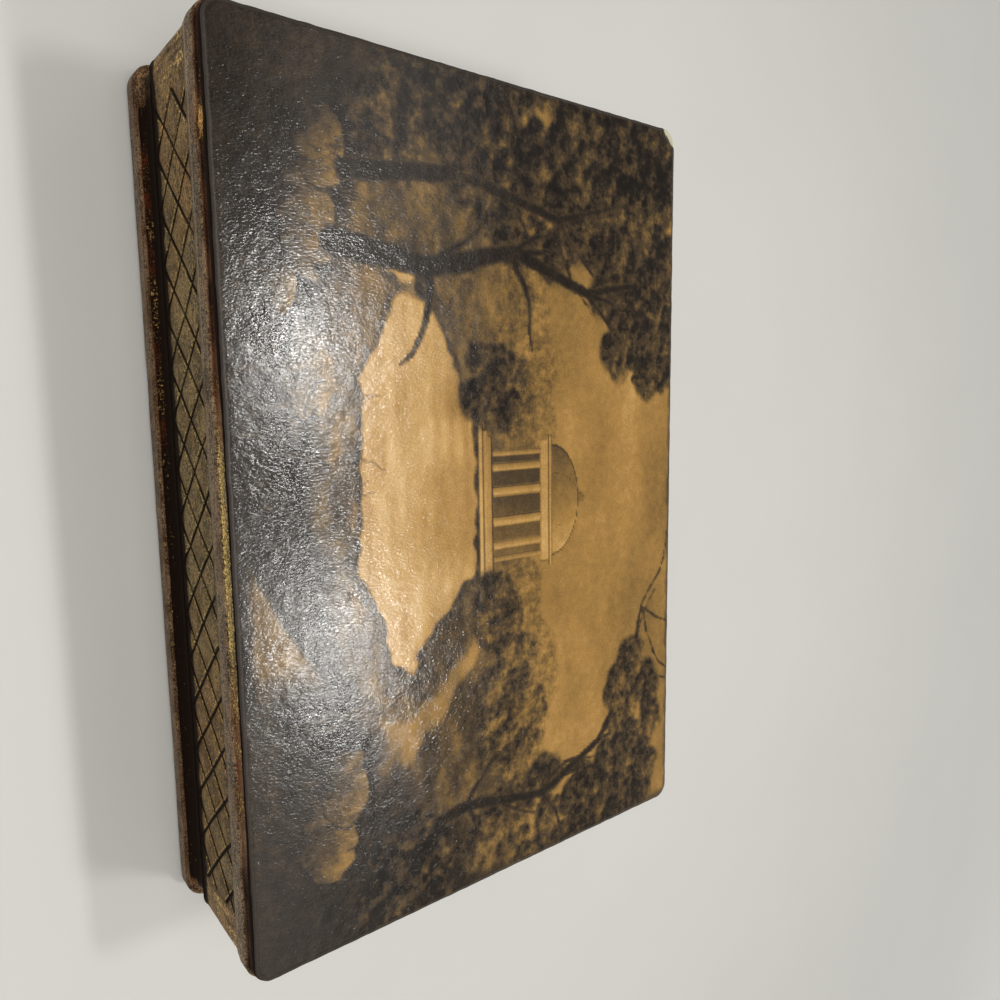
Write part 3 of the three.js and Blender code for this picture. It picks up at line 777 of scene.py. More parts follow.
def make_wall(boxes, node, turn, seed):
    """One gilt wall, mitred at its ends, with hand-cut lines whose lower lips catch the light as a painted
    highlight.
    """
    gilding = boxes.gilding
    low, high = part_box(node)
    case_low, case_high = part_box("wall_front")
    case_high.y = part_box("wall_back")[1].y
    is_long = abs(math.sin(turn)) < 0.5
    size = (case_high.x - case_low.x) if is_long else (case_high.y - case_low.y)
    outer = (case_high.y - case_low.y) / 2 if is_long else (case_high.x - case_low.x) / 2
    height = high.z - low.z
    radius, thick = gilding.corner, gilding.thickness
    straight = size / 2 - radius
    run = straight + radius * math.pi / 4
    mesh = lattice_sheet(gilding, run, height)
    flat = np.array([point.co for point in mesh.vertices])
    along, level = flat[:, 0].copy(), flat[:, 2].copy()

    # Depth of the tooled lines, each placed and pressed a little differently
    slope = gilding.rise / gilding.pitch
    steepness = math.sin(math.atan2(gilding.rise, gilding.pitch))
    half = gilding.groove_width / 2
    hand = np.random.default_rng(seed).uniform(-1, 1, (2, 2, 64))
    flat_noise = np.stack([along, level, np.full(len(along), seed * 0.013)], axis=1)
    groove = np.zeros(len(along))
    lip = np.zeros(len(along))
    near = np.full(len(along), 1.0)
    tile = np.zeros(len(along))
    for row, sign in enumerate((1, -1)):
        line = along + sign * (level - gilding.middle) / slope - gilding.shift
        number = np.round(line / gilding.pitch).astype(int)
        signed = (line - gilding.pitch * number) * steepness - 0.2 * MM * hand[row, 0, number % 64]
        share = np.clip(1 - np.abs(signed) / half, 0, 1)
        pressure = 0.84 + 0.2 * smooth_noise(flat_noise + sign, 16 * MM, seed + 3)
        pressure += 0.14 * hand[row, 1, number % 64]
        groove = np.maximum(groove, share * share * (3 - 2 * share) * pressure)
        # The lower lip of each line faces up; it is marked here for a painted highlight
        lit = ramp(-sign * signed, 0.2 * half, 0.7 * half)
        lip = np.maximum(lip, lit * np.exp(-(((np.abs(signed) - 1.2 * half) / (0.35 * half)) ** 2)))
        near = np.minimum(near, np.abs(signed))
        tile += hand[row, 0, np.floor(line / gilding.pitch).astype(int) % 64]
    field = ramp(size / 2 - gilding.plain_corner - np.abs(along), -0.6 * MM, 0.9 * MM)
    border = np.minimum(level, height - level)
    field *= ramp(border, gilding.margin, gilding.margin + 0.6 * MM)
    groove *= field
    lip *= field * (1 - groove)

    # Each line wanders a little, and the gesso swells between them
    free = ramp(np.minimum(border, run - np.abs(along)), 0, 4 * MM)
    along += 0.55 * MM * free * smooth_noise(flat_noise, 19 * MM, seed)
    level += 0.45 * MM * free * smooth_noise(flat_noise, 15 * MM, seed + 1)
    wave = boxes.mouldings.waviness * (0.5 + 0.5 * smooth_noise(flat_noise, 8 * MM, seed + 2, 3))
    wave += 0.26 * MM * field * np.exp(-near / (1.5 * MM))
    wave *= ramp(border, 0, 1 * MM)
    depth = gilding.groove_depth * groove + wave - 0.05 * MM * lip

    # Bend the sheet round its two corners
    past = np.clip(np.abs(along) - straight, 0, None) / radius
    side = np.sign(along)
    normal = np.stack([side * np.sin(past), -np.cos(past)], axis=1)
    x = np.clip(along, -straight, straight) + side * radius * np.sin(past)
    y = radius - radius * np.cos(past)
    place = np.stack([x - normal[:, 0] * depth, y - normal[:, 1] * depth, level], axis=1)
    mesh.vertices.foreach_set("co", place.ravel())
    mitre = (size / 2 - thick) / (size / 2 - radius * (1 - math.sqrt(0.5)))
    close_sheet(mesh, lambda co: Vector((co.x * mitre, thick, co.z)))

    # Glaze lies in the lines and round each diamond; the dark bands against the lid and the base are painted
    # shade, laid as glaze
    blotch = smooth_noise(flat_noise, 6 * MM, seed + 4, 3)
    crackle = smooth_noise(flat_noise * (9, 1, 1), 8 * MM, seed + 5, 2)
    plain = 1 - ramp(size / 2 - gilding.plain_corner - np.abs(along), -3 * MM, 1 * MM)
    glaze = 0.4 * ramp(groove, 0.04, 0.5) + 0.13 + 0.2 * blotch + 0.07 * ramp(along, 10 * MM, 60 * MM)
    glaze += 0.3 * field * np.exp(-near / (0.9 * MM)) * (1 - lip)
    glaze += 0.95 * ramp(level - 0.5 * MM * blotch, 4.4 * MM, 0.5 * MM)
    glaze += 0.3 * ramp(height - level, 1.4 * MM, 0.3 * MM)
    glaze += 0.32 * plain * ramp(crackle, 0, 0.8)

    # The plain corners are rubbed; the lower lips of the lines, which face up, get a painted highlight in
    # rubbed gold
    rub = 0.56 * plain * ramp(blotch - crackle, -0.6, 0.7) + 0.62 * lip + 0.08 * blotch
    rub *= ramp(level, 1.5 * MM, 4 * MM)
    bole = 0.3 * plain * ramp(-blotch, 0.1, 0.8)
    warm = 0.5 * ramp(np.abs(along + 6 * MM), 34 * MM, 66 * MM) + 0.2 * tile + 0.15 * blotch
    grain = np.stack([along + seed, depth, level], axis=1)
    nothing = np.zeros(len(along))
    paint(mesh, glaze=glaze, rub=rub, bole=bole, bare=nothing, warm=np.clip(warm, 0, 1), grain=grain)
    mesh.transform(Matrix.Translation((0, -outer, low.z)))
    mesh.transform(Matrix.Rotation(turn, 4, "Z"))
    material = bpy.data.materials.get("toned_leaf_on_walls")
    if material is None:
        material = gilt_material("toned_leaf_on_walls", gilding.wall_leaf, gilding, 0.5 * MM)
    piece = new_piece(f"gilt_{node}", mesh, material)
    if node == "wall_back":
        cut_blocks(piece, hinge_blocks(boxes.brass, -1))
    settle(piece, "case", "gilding", node)


# Varnished print, its drawing worked out in millimetres

FAR = 1000.0  # stands for "nowhere near", in millimetres


def from_line(x, y, points, widths):
    """Distance to the edge of a tapered stroke, below zero inside it."""
    distance = np.full(len(x), FAR)
    for (x0, y0), (x1, y1), w0, w1 in zip(points, points[1:], widths, widths[1:]):
        run_x, run_y = x1 - x0, y1 - y0
        share = np.clip(((x - x0) * run_x + (y - y0) * run_y) / (run_x**2 + run_y**2), 0, 1)
        gap = np.hypot(x - x0 - share * run_x, y - y0 - share * run_y)
        distance = np.minimum(distance, gap - (w0 + (w1 - w0) * share) / 2)
    return distance


def wander(start, heading, steps, stride, turn, generator):
    """A winding branch: points that go on from `start`, each turned a little from the last."""
    points = [start]
    for _ in range(steps):
        heading += generator.uniform(-turn, turn)
        x, y = points[-1]
        points.append((x + stride * math.cos(heading), y + stride * math.sin(heading)))
    return points


def draw_clumps(x, y, tone, texture, masses, generator):
    """Foliage in rounded clumps inside elliptic masses, each clump lit from the upper right."""
    for centre_x, centre_y, reach_x, reach_y, count, dark in masses:
        for _ in range(count):
            angle = generator.uniform(0, 2 * math.pi)
            out = math.sqrt(generator.uniform(0, 1))
            place_x = centre_x + reach_x * out * math.cos(angle)
            place_y = centre_y + reach_y * out * math.sin(angle)
            size = generator.uniform(1.6, 7)
            near = (np.abs(x - place_x) < 1.6 * size) & (np.abs(y - place_y) < 1.6 * size)
            off_x, off_y = (x[near] - place_x) / size, (y[near] - place_y) / size
            cover = ramp(np.hypot(off_x, off_y * 1.25), 1.25, 0.65)
            lit = dark + 0.24 * np.clip(0.62 * off_x + 0.78 * off_y, -0.5, 1) + generator.uniform(-0.03, 0.05)
            tone[near] += (lit - tone[near]) * cover
            texture[near] += (0.4 - texture[near]) * cover


def draw_temple(across, up):
    """A round garden temple whose steps stand on 0: its share, tone and distance from ink lines.

    Steps, pillars round a dim inside, a cornice and a low dome, all lit from the right.
    """
    share, tone = np.zeros(len(across)), np.zeros(len(across))
    ink = np.full(len(across), FAR)

    def inside(low, high, half):
        within = ramp(np.abs(across), half + 0.3, half - 0.3)
        return within * ramp(up, low - 0.3, low + 0.3) * ramp(up, high + 0.3, high - 0.3)

    def put(mask, new_tone, lines):
        nonlocal share, tone, ink
        tone = tone + (new_tone - tone) * mask
        share = np.maximum(share, mask)
        ink = np.where(mask > 0.05, np.minimum(ink, lines), ink)

    floor_line, eaves, crown = 5.1, 24, 28.7
    for row, half in enumerate((25, 23, 21)):
        low = 1.7 * row
        lit = 0.84 - 0.06 * row - 0.1 * ramp(across, 0, -20)
        put(inside(low, low + 1.7, half), lit, np.abs(up - low - 1.7) - 0.1)
    put(inside(floor_line, eaves, 17), 0.3 + 0.16 * ramp(across, -14, 14), FAR)
    for angle in (-78, -46, -16, 16, 46, 78):
        off = across - 16.4 * math.sin(math.radians(angle))
        half = 0.75 + 0.65 * math.cos(math.radians(angle))
        pillar = ramp(np.abs(off), half + 0.3, half - 0.3) * inside(floor_line, eaves, 20)
        lit = 0.78 + 0.16 * np.clip(off / half, -1, 1) - 0.002 * abs(angle)
        put(pillar, lit, np.abs(np.abs(off) - half) - 0.05)
    for low, tall, half in ((eaves, 3.4, 19), (eaves + 3.4, 1.3, 20.6)):
        lit = 0.74 + 0.12 * ramp(across, -18, 14)
        put(inside(low, low + tall, half), lit, np.abs(up - low) - 0.12)
    dome = np.hypot(across / 17.6, (up - crown) / 11.5)
    roof = ramp(dome, 1.03, 0.97) * ramp(up, crown - 0.3, crown + 0.3)
    rib = 8.6 * np.sqrt(np.clip(1 - ((up - crown) / 11.5) ** 2, 0, 1))
    lines = np.minimum(np.abs(np.abs(across) - rib) + 0.02, np.abs(dome - 1) * 12 - 0.1)
    lit = 0.58 + 0.24 * np.clip(across / 17 + 0.3 * (up - crown) / 11.5, -1, 1)
    put(roof, lit, lines)
    put(ramp(np.hypot(across, up - crown - 12.6), 1.7, 1.2), 0.55, FAR)
    return share, tone, ink


def draw_park(x, y):
    """An invented park: tall trees, a round temple above a pond, rocks and a sandy walk.

    Gives each point's tone, its broken texture and its distance from the inked lines.
    """
    generator = np.random.default_rng(5)
    flat = np.stack([x, y, np.zeros(len(x))], axis=1)
    wide = flat * (1, 2.3, 1)

    # Sky with long clouds, brightest over the temple
    cloud = smooth_noise(wide, 46, 31, 4)
    glow = np.exp(-(((x - 20) / 80) ** 2) - ((y - 30) / 34) ** 2)
    tone = 0.6 + 0.1 * cloud + 0.13 * glow
    texture = np.full(len(x), 0.1)
    ink = np.full(len(x), FAR)

    def lay(mask, new_tone, new_texture):
        nonlocal tone, texture
        tone = tone + (new_tone - tone) * mask
        texture = texture + (new_texture - texture) * mask

    # Two hazy lines of far trees
    for base, swell, size, shade, seed in ((19, 6, 26, 0.6, 32), (12, 5, 11, 0.46, 33)):
        crest = base + swell * smooth_noise(flat * (1, 0, 0), size, seed, 3)
        lay(ramp(y, crest + 1.2, crest - 0.6), shade + 0.05 * cloud, 0.3)

    # Meadow, with a light sandy walk that comes in from the front and bends behind the pond
    tufts = smooth_noise(wide, 12, 34, 3)
    lay(ramp(y, 4, 1), 0.4 + 0.12 * tufts, 0.2)
    share = np.clip((y + 82) / 80, 0, 1)
    middle = 16 + 8 * share + 46 * np.sin(share * 2.9) + 2 * tufts
    half = 17 * (1 - share) ** 1.5 + 3
    walk = ramp(np.abs(x - middle) - half, 1.6, -2.4) * ramp(y, -3, -6)
    lay(walk, 0.6 + 0.09 * tufts + 0.08 * share, 0.1)

    # Pond that mirrors the temple and its bushes in a broken way, then the temple
    shore = np.hypot((x + 14) / 54, (y + 27) / 19)
    shore += 0.24 * smooth_noise(flat, 17, 35) + 0.08 * smooth_noise(flat, 6, 41, 2)
    pond = ramp(shore, 1.03, 0.97)
    ripple = smooth_noise(flat * (1, 6, 1), 15, 36, 3)
    lay(pond, 0.86 + 0.07 * ripple - 0.1 * ramp(y, -20, -7), 0.06)
    shiver = smooth_noise(flat * (1, 5, 1), 9, 42, 2)
    for middle, half, foot, dim in ((2, 15, -36, 0.68), (-38, 12, -28, 0.5), (38, 12, -28, 0.5)):
        beside = np.abs(x - middle + 3 * shiver) - half
        lay(0.6 * pond * ramp(beside, 4, -5) * ramp(y, foot, foot + 20), dim, 0.08)
    lay(0.75 * ramp(np.abs(shore - 1.03), 0.08, 0.0), 0.22 + 0.05 * tufts, 0.3)
    built, lit, drawn = draw_temple(x - 2, y + 6)
    lay(built, lit, 0.1)
    ink = np.minimum(ink, np.where(built > 0.05, drawn, FAR))

    # Dark banks in the front corners, open where the walk comes in
    rise = -58 + 46 * (np.abs(x + 6) / 120) ** 2.2 + 7 * smooth_noise(flat, 22, 37, 3)
    shade = ramp(y, rise + 8, rise - 6) * (1 - 0.7 * walk * ramp(x, 50, 34))
    lay(shade, 0.13 + 0.05 * tufts, 0.14)

    # Rocks, each with a lit top and a dark foot
    for centre_x, centre_y, reach_x, reach_y in (
        (-24, -54, 10, 5),
        (-38, -58, 12, 7),
        (74, -52, 11, 7),
        (88, -58, 13, 8),
        (-74, -57, 13, 8),
        (-92, -52, 10, 7),
        (-58, -64, 7, 4),
    ):
        off_x = (x - centre_x) / reach_x
        off_y = (y - centre_y) / reach_y
        shape = np.hypot(off_x, off_y) + 0.16 * smooth_noise(flat, 5, 38, 2)
        lit = 0.36 + 0.2 * off_y + 0.1 * off_x + 0.08 * smooth_noise(flat, 3, 39)
        lay(ramp(shape, 1.0, 0.9), lit, 0.22)
        ink = np.minimum(ink, np.where(off_y < 0.2, np.abs(shape - 1) * reach_y - 0.1, FAR))

    # Reeds and grass in the front, pale blades over dark ones
    blades = np.full(len(x), FAR)
    for _ in range(190):
        foot_x = generator.uniform(-116, 116)
        foot_y = generator.uniform(-80, -46)
        if abs(foot_x - 22) < 26:
            continue
        lean = generator.uniform(-0.5, 0.5)
        tall = generator.uniform(4, 11)
        near = (np.abs(x - foot_x) < 10) & (np.abs(y - foot_y - tall / 2) < tall)
        tip = (foot_x + lean * tall, foot_y + tall)
        bend = (foot_x + 0.25 * lean * tall, foot_y + 0.55 * tall)
        stroke = from_line(x[near], y[near], [(foot_x, foot_y), bend, tip], [0.7, 0.5, 0.1])
        blades[near] = np.minimum(blades[near], stroke)
    lay(0.5 * ramp(blades, 0.35, -0.1), 0.36 - 0.16 * ramp(np.abs(x), 50, 100), 0.1)

    # Trees: far foliage, trunks with branches, near foliage
    draw_clumps(x, y, tone, texture, (
        (-98, 34, 30, 46, 190, 0.2),
        (-66, 62, 34, 19, 120, 0.24),
        (-104, -18, 22, 24, 60, 0.2),
        (104, 20, 15, 34, 60, 0.3),
        (-34, 1, 12, 9, 44, 0.24),
        (36, 1, 11, 7, 34, 0.3),
        (66, 6, 20, 11, 80, 0.36),
    ), generator)
    trunks = (
        ((-70, -50), (-66, -22), (-73, 8), (-63, 38), (-69, 72)),
        ((-88, -46), (-92, -10), (-84, 26), (-94, 62)),
        ((98, -44), (93, -12), (99, 18), (88, 44), (66, 60), (44, 65)),
    )
    bark = np.full(len(x), FAR)
    for trunk, width in zip(trunks, (7.5, 6, 4.6)):
        widths = [width * (1 - 0.78 * k / (len(trunk) - 1)) for k in range(len(trunk))]
        bark = np.minimum(bark, from_line(x, y, trunk, widths))
        for foot_point, w in zip(trunk[1:], widths[1:]):
            for heading in generator.uniform(0.2, 2.9, 3):
                twig = wander(foot_point, heading, 6, 5, 0.42, generator)
                taper = [w * 0.55 * (1 - k / 7) + 0.15 for k in range(7)]
                bark = np.minimum(bark, from_line(x, y, twig, taper))
    rough_bark = 0.28 * smooth_noise(flat * (3, 1, 1), 4, 40, 2)
    lay(ramp(bark + rough_bark, 0.35, -0.15), 0.12 + 0.16 * ramp(bark, -1, 0), 0.16)
    draw_clumps(x, y, tone, texture, (
        (-112, 62, 20, 22, 70, 0.14),
        (-52, 70, 22, 11, 50, 0.2),
        (-108, 4, 14, 26, 50, 0.14),
        (82, 60, 22, 12, 80, 0.32),
        (106, 50, 14, 22, 70, 0.26),
        (108, -34, 16, 14, 60, 0.16),
    ), generator)
    return tone, texture, ink


def print_distance(x, y, half_x, half_y, radius, chip):
    """Distance to the paper's edge, below zero on the paper: round corners, one torn off."""
    off_x, off_y = np.abs(x) - half_x + radius, np.abs(y) - half_y + radius
    rectangle = np.hypot(np.maximum(off_x, 0), np.maximum(off_y, 0)) - radius
    rectangle += np.minimum(np.maximum(off_x, off_y), 0)
    flat = np.stack([x, y, np.zeros(len(x))], axis=1)
    rectangle += 0.09 * MM * (1 + smooth_noise(flat, 3.2 * MM, 51, 2))
    along = (x + y + half_x - half_y) / chip
    torn = (y - x - half_x - half_y + chip * 0.86) / math.sqrt(2)
    torn += 0.5 * MM * (1 - along**2) + 0.25 * MM * smooth_noise(flat, 1.3 * MM, 52)
    return np.maximum(rectangle, torn)


def make_print(boxes):
    """Paper print over the lid: pebbled varnish, edges rolled down, one rear corner torn off."""
    picture, edge = boxes.picture, boxes.mouldings
    low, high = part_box("lid_print")
    inset = picture.margin
    half_x, half_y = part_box("lid_board")[1].x - edge.lid_step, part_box("lid_board")[1].y - edge.lid_step
    half_x, half_y = half_x - inset, half_y - inset
    radius = boxes.gilding.board_corner - edge.lid_step - inset
    shape = (half_x, half_y, radius, picture.chip)

    # A square net, its border cells drawn in to the paper's edge
    columns, rows = (
        np.linspace(-half - picture.grid, half + picture.grid, round(2 * half / picture.grid) + 3)
        for half in (half_x, half_y)
    )
    x, y = (part.ravel() for part in np.meshgrid(columns, rows, indexing="ij"))
    cells = net_faces(len(columns), len(rows))
    far = print_distance(x, y, *shape)
    cells = cells[far[cells].min(1) < -0.25 * picture.grid]
    used, renumbered = np.unique(cells, return_inverse=True)
    x, y = x[used], y[used]
    for _ in range(4):
        far = print_distance(x, y, *shape)
        step = 0.02 * MM
        slope_x = (print_distance(x + step, y, *shape) - far) / step
        slope_y = (print_distance(x, y + step, *shape) - far) / step
        back = np.clip(far, 0, None) / np.maximum(slope_x**2 + slope_y**2, 0.25)
        x, y = x - back * slope_x, y - back * slope_y
    inside = -print_distance(x, y, *shape)
    flat = np.stack([x, y, np.zeros(len(x))], axis=1)
    relief = 0.05 * MM * (0.5 + 0.5 * smooth_noise(flat, 2.4 * MM, 53, 2))
    z = high.z - relief - 0.2 * MM * ramp(inside, 0.8 * MM, 0)
    mesh = new_mesh("print", np.stack([x, y, z], axis=1), renumbered.reshape(-1, 4).tolist())
    close_sheet(mesh, lambda co: Vector((co.x, co.y, low.z)))

    # The drawing, with a dark strip at the front and darker ends
    tone, texture, ink = draw_park(x / MM, y / MM)
    ragged = 0.7 * MM * smooth_noise(flat, 5 * MM, 54, 2)
    strip = ramp(y + half_y + ragged, 5.4 * MM, 2.4 * MM)
    ends = ramp(half_x - np.abs(x) + ragged, 5 * MM, 0.6 * MM)
    back = ramp(half_y - y + ragged, 2.2 * MM, 0.4 * MM)
    dark = np.maximum(np.maximum(strip, 0.6 * ends), 0.5 * back)
    tone += (0.16 - tone) * dark
    paint(mesh, tone=tone, texture=texture, ink=np.clip(ink, -1, 2) * MM, edge=inside)
    piece = new_piece("varnished_print", mesh, print_material(picture))
    settle(piece, "lid", "print", "lid_print")


# Lining


def rounded_bar(size_x, size_y, size_z, radius, spacing, lean):
    """A bar along X that stands on z = 0, its top rounded over; points and faces."""
    section = [(-size_y / 2, 0), *arc(0, size_z - radius, size_y / 2, radius, 180, 0, 10), (size_y / 2, 0)]
    section = divided(section, 1.6 * MM)
    count = max(2, round(size_x / spacing))
    stations = np.linspace(-size_x / 2, size_x / 2, count + 1)
    points = np.array([(x, y, z) for x in stations for y, z in section])
    points[:, 1] += lean * smooth_noise(points, 14 * MM, 61) * ramp(points[:, 2], 0, size_z)
    return points, tube_faces(len(stations), len(section), flipped=True)


def make_card(node, velvet):
    """A lining card or divider: velvet turned over card, soft along its top edge."""
    low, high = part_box(node)
    size = high - low
    along_y = size.y > size.x
    run, thick = (size.y, size.x) if along_y else (size.x, size.y)
    points, faces = rounded_bar(run, thick, size.z, thick / 2, 2.5 * MM, 0.05 * MM)
    mesh = new_mesh(node, points, faces)
    if along_y:
        mesh.transform(Matrix.Rotation(math.pi / 2, 4, "Z"))
    centre = (low + high) / 2
    mesh.transform(Matrix.Translation((centre.x, centre.y, low.z)))
    mesh.update()
    piece = new_piece(f"velvet_{node}", mesh, velvet)
    settle(piece, "case", "velvet", node)


def inflate(piece, held, cap, pressure, frames=20):
    """Blows a closed mesh up as cloth; points in `held` stay, and none moves further than `cap`."""
    start = np.array([point.co for point in piece.data.vertices])
    group = piece.vertex_groups.new(name="held")
    group.add([int(number) for number in np.flatnonzero(held)], 1, "REPLACE")
    modifier = piece.modifiers.new("stuffing", "CLOTH")
    cloth = modifier.settings
    cloth.vertex_group_mass = "held"
    cloth.use_pressure = True
    cloth.uniform_pressure_force = pressure
    cloth.shrink_min = -0.035
    cloth.quality = 6
    cloth.mass = 0.15
    cloth.tension_stiffness = 12
    cloth.compression_stiffness = 12
    cloth.bending_stiffness = 0.3
    cloth.effector_weights.gravity = 0
    modifier.point_cache.frame_start = 1
    modifier.point_cache.frame_end = frames
    for number in range(1, frames + 1):
        bpy.context.scene.frame_set(number)
    apply_modifiers(piece)
    bpy.context.scene.frame_set(1)
    moved = np.array([point.co for point in piece.data.vertices]) - start
    far = np.linalg.norm(moved, axis=1, keepdims=True)
    moved *= np.minimum(1, cap / np.maximum(far, 1e-9))
    piece.data.vertices.foreach_set("co", (start + moved).ravel())
    piece.vertex_groups.clear()


def smoothed(piece):
    """Divides the mesh into a finer, smoother one."""
    modified(piece, "SUBSURF", levels=1)
    piece.data.polygons.foreach_set("use_smooth", [True] * len(piece.data.polygons))


def pad_blank(name, size, corner, crown, pull, material):
    """A pad's blank on z = 0: rounded plan, sides drawn in between the corners, low crown."""
    outline, outward, _ = board_outline(size.x, size.y, corner, 2.5 * MM)
    edge = size.z / 2
    levels = [(edge * 0.5, 0), *arc(edge, edge, edge, edge, 215, 90, 6)]
    rings = []
    for inset, z in levels:
        ring = outline - outward * inset
        share = ring / (np.abs(outline).max(0))
        drawn = pull * (1 - share[:, ::-1] ** 2) * share
        rings.append(np.column_stack([ring - drawn, np.full(len(ring), z)]))
    for shrink in (0.92, 0.8, 0.62, 0.4, 0.18):
        top = rings[len(levels) - 1].copy() * (shrink, shrink, 1)
        top[:, 2] = size.z + crown * (1 - shrink**2.4)
        rings.append(top)
    mesh = new_mesh(name, np.concatenate(rings), tube_faces(len(rings), len(outline)))
    return new_piece(name, mesh, material)


def make_pad(node, name, body, slot, material, upside_down):
    """A stuffed pad glued down by its back, swollen by the cloth simulation."""
    low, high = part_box(node)
    size = high - low
    crown = 0.34 * size.z
    side_room, top_room, glued, swelling = 0.8 * MM, 0.5 * MM, 0.7 * MM, 1.1 * MM
    corner, drawn_in, voxel, pressure = 5 * MM, 0.9 * MM, 1.7 * MM, 4
    blank = Vector((size.x - side_room, size.y - side_room, size.z - crown - top_room))
    piece = pad_blank(name, blank, corner, crown, drawn_in, material)
    modified(piece, "REMESH", mode="VOXEL", voxel_size=voxel)
    heights = np.array([point.co.z for point in piece.data.vertices])
    inflate(piece, heights < glued, swelling, pressure)
    smoothed(piece)
    centre = (low + high) / 2
    if upside_down:
        piece.data.transform(Matrix.Rotation(math.pi, 4, "X"))
    piece.data.transform(Matrix.Translation((centre.x, centre.y, high.z if upside_down else low.z)))
    settle(piece, body, slot, node)


def make_roll(node, velvet, seed):
    """A ring roll: velvet round a foam core, gathered at its domed ends."""
    low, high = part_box(node)
    size = high - low
    half = size.x / 2 - 0.25 * MM
    crown = arc(0, size.z - half - 0.3 * MM, half, half, -30, 210, 22)
    section = [(-half * 0.55, 0), (half * 0.55, 0), *crown]
    section = divided(section + section[:1], 1.2 * MM)[:-1]
    ends = [(0.0, 0.55), (0.06, 0.76), (0.22, 0.9), (0.5, 0.98), (1.0, 1.0)]
    reach = size.y / 2 - 0.3 * MM
    stations = [(-reach + place * half, scale) for place, scale in ends]
    stations += [(y, 1.0) for y in np.linspace(-reach + 1.2 * half, reach - 1.2 * half, 70)]
    stations += [(reach - place * half, scale) for place, scale in reversed(ends)]
    points = np.array([(x * scale, y, z * scale) for y, scale in stations for x, z in section])
    away = points - (0, 0, size.z / 2)
    away[:, 1] = 0
    away /= np.maximum(np.linalg.norm(away, axis=1, keepdims=True), 1e-6)
    gathers = np.clip((np.abs(points[:, 1]) - reach + 1.5 * half) / half, 0, 1)
    angle = np.arctan2(away[:, 0], away[:, 2])
    soft = 0.22 * MM * smooth_noise(points + seed * 0.1, 9 * MM, seed, 2)
    soft -= 0.25 * MM * gathers * (0.5 + 0.5 * np.cos(15 * angle + seed))
    points += away * (soft * ramp(points[:, 2], 0, 2 * MM))[:, None]
    mesh = new_mesh(node, points, tube_faces(len(stations), len(section), flipped=True))
    centre = (low + high) / 2
    mesh.transform(Matrix.Translation((centre.x, centre.y, low.z)))
    piece = new_piece(f"velvet_{node}", mesh, velvet)
    smoothed(piece)
    settle(piece, "case", "velvet", node)


# One operator for each piece or group of like pieces


class GILTBOX_OT_lid_board(bpy.types.Operator):
    """Build the lid board with its moulded and gilt edge"""

    bl_idname = "giltbox.lid_board"
    bl_label = "Lid board"

    def execute(self, context):
        make_lid_board(context.scene.gilt_box)
        return {"FINISHED"}


class GILTBOX_OT_base_board(bpy.types.Operator):
    """Build the base board with its band, ledge and cove"""

    bl_idname = "giltbox.base_board"
    bl_label = "Base board"

    def execute(self, context):
        make_base_board(context.scene.gilt_box)
        return {"FINISHED"}


class GILTBOX_OT_walls(bpy.types.Operator):
    """Build the four gilt walls with their tooled lattice"""

    bl_idname = "giltbox.walls"
    bl_label = "Gilt walls"

    def execute(self, context):
        turns = {"wall_front": 0, "wall_right": 90, "wall_back": 180, "wall_left": 270}
        for number, (node, turn) in enumerate(turns.items()):
            make_wall(context.scene.gilt_box, node, math.radians(turn), 70 + 10 * number)
        return {"FINISHED"}


class GILTBOX_OT_print(bpy.types.Operator):
    """Build the varnished print on the lid"""

    bl_idname = "giltbox.lid_print"
    bl_label = "Varnished print"

    def execute(self, context):
        make_print(context.scene.gilt_box)
        return {"FINISHED"}


class GILTBOX_OT_lining(bpy.types.Operator):
    """Build the velvet cards, dividers, floor pads and ring rolls"""

    bl_idname = "giltbox.lining"
    bl_label = "Velvet lining"

    def execute(self, context):
        boxes = context.scene.gilt_box
        velvet = pile_material("cotton_velvet", boxes.lining.velvet, boxes.lining.pile)
        for node in ("liner_front", "liner_back", "liner_left", "liner_right", "divider_cross", "divider_long"):
            make_card(node, velvet)
        for side in ("front", "back"):
            node = f"floor_pad_{side}"
            make_pad(node, f"velvet_{node}", "case", "velvet", velvet, False)
        for number in range(1, 5):
            make_roll(f"ring_roll_{number}", velvet, number)
        return {"FINISHED"}


class GILTBOX_OT_lid_pad(bpy.types.Operator):
    """Build the padded satin panel under the lid"""

    bl_idname = "giltbox.lid_pad"
    bl_label = "Satin lid pad"

    def execute(self, context):
        boxes = context.scene.gilt_box
        satin = satin_material(boxes.lining.satin)
        make_pad("lid_pad", "satin_lid_pad", "lid", "satin", satin, True)
        return {"FINISHED"}


class GILTBOX_OT_felt(bpy.types.Operator):
    """Finish the felt under the base"""

    bl_idname = "giltbox.felt"
    bl_label = "Felt"

    def execute(self, context):
        felt = pile_material("wool_felt", context.scene.gilt_box.lining.felt, 0.5 * MM)
        dress(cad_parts["base_felt"], felt)
        return {"FINISHED"}


class GILTBOX_OT_hinges(bpy.types.Operator):
    """Finish the brass hinges, their pins and their screws"""

    bl_idname = "giltbox.hinges"
    bl_label = "Brass hinges"

    def execute(self, context):
        brass = brass_material(context.scene.gilt_box.brass)
        for name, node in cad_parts.items():
            if name.startswith("hinge_"):
                dress(node, brass)
        return {"FINISHED"}


class GILTBOX_OT_stage(bpy.types.Operator):
    """Lay the pale floor, hang the lamps and set up the camera"""

    bl_idname = "giltbox.stage"
    bl_label = "Floor, lamps and camera"

    def execute(self, context):
        make_stage(context.scene.gilt_box.stage)
        make_camera()
        return {"FINISHED"}


def dress(node, material):
    """Gives a solid of the joinery its finish, and leaves its shape as it is."""
    for place in node.material_slots:
        place.link = "OBJECT"
        place.material = material


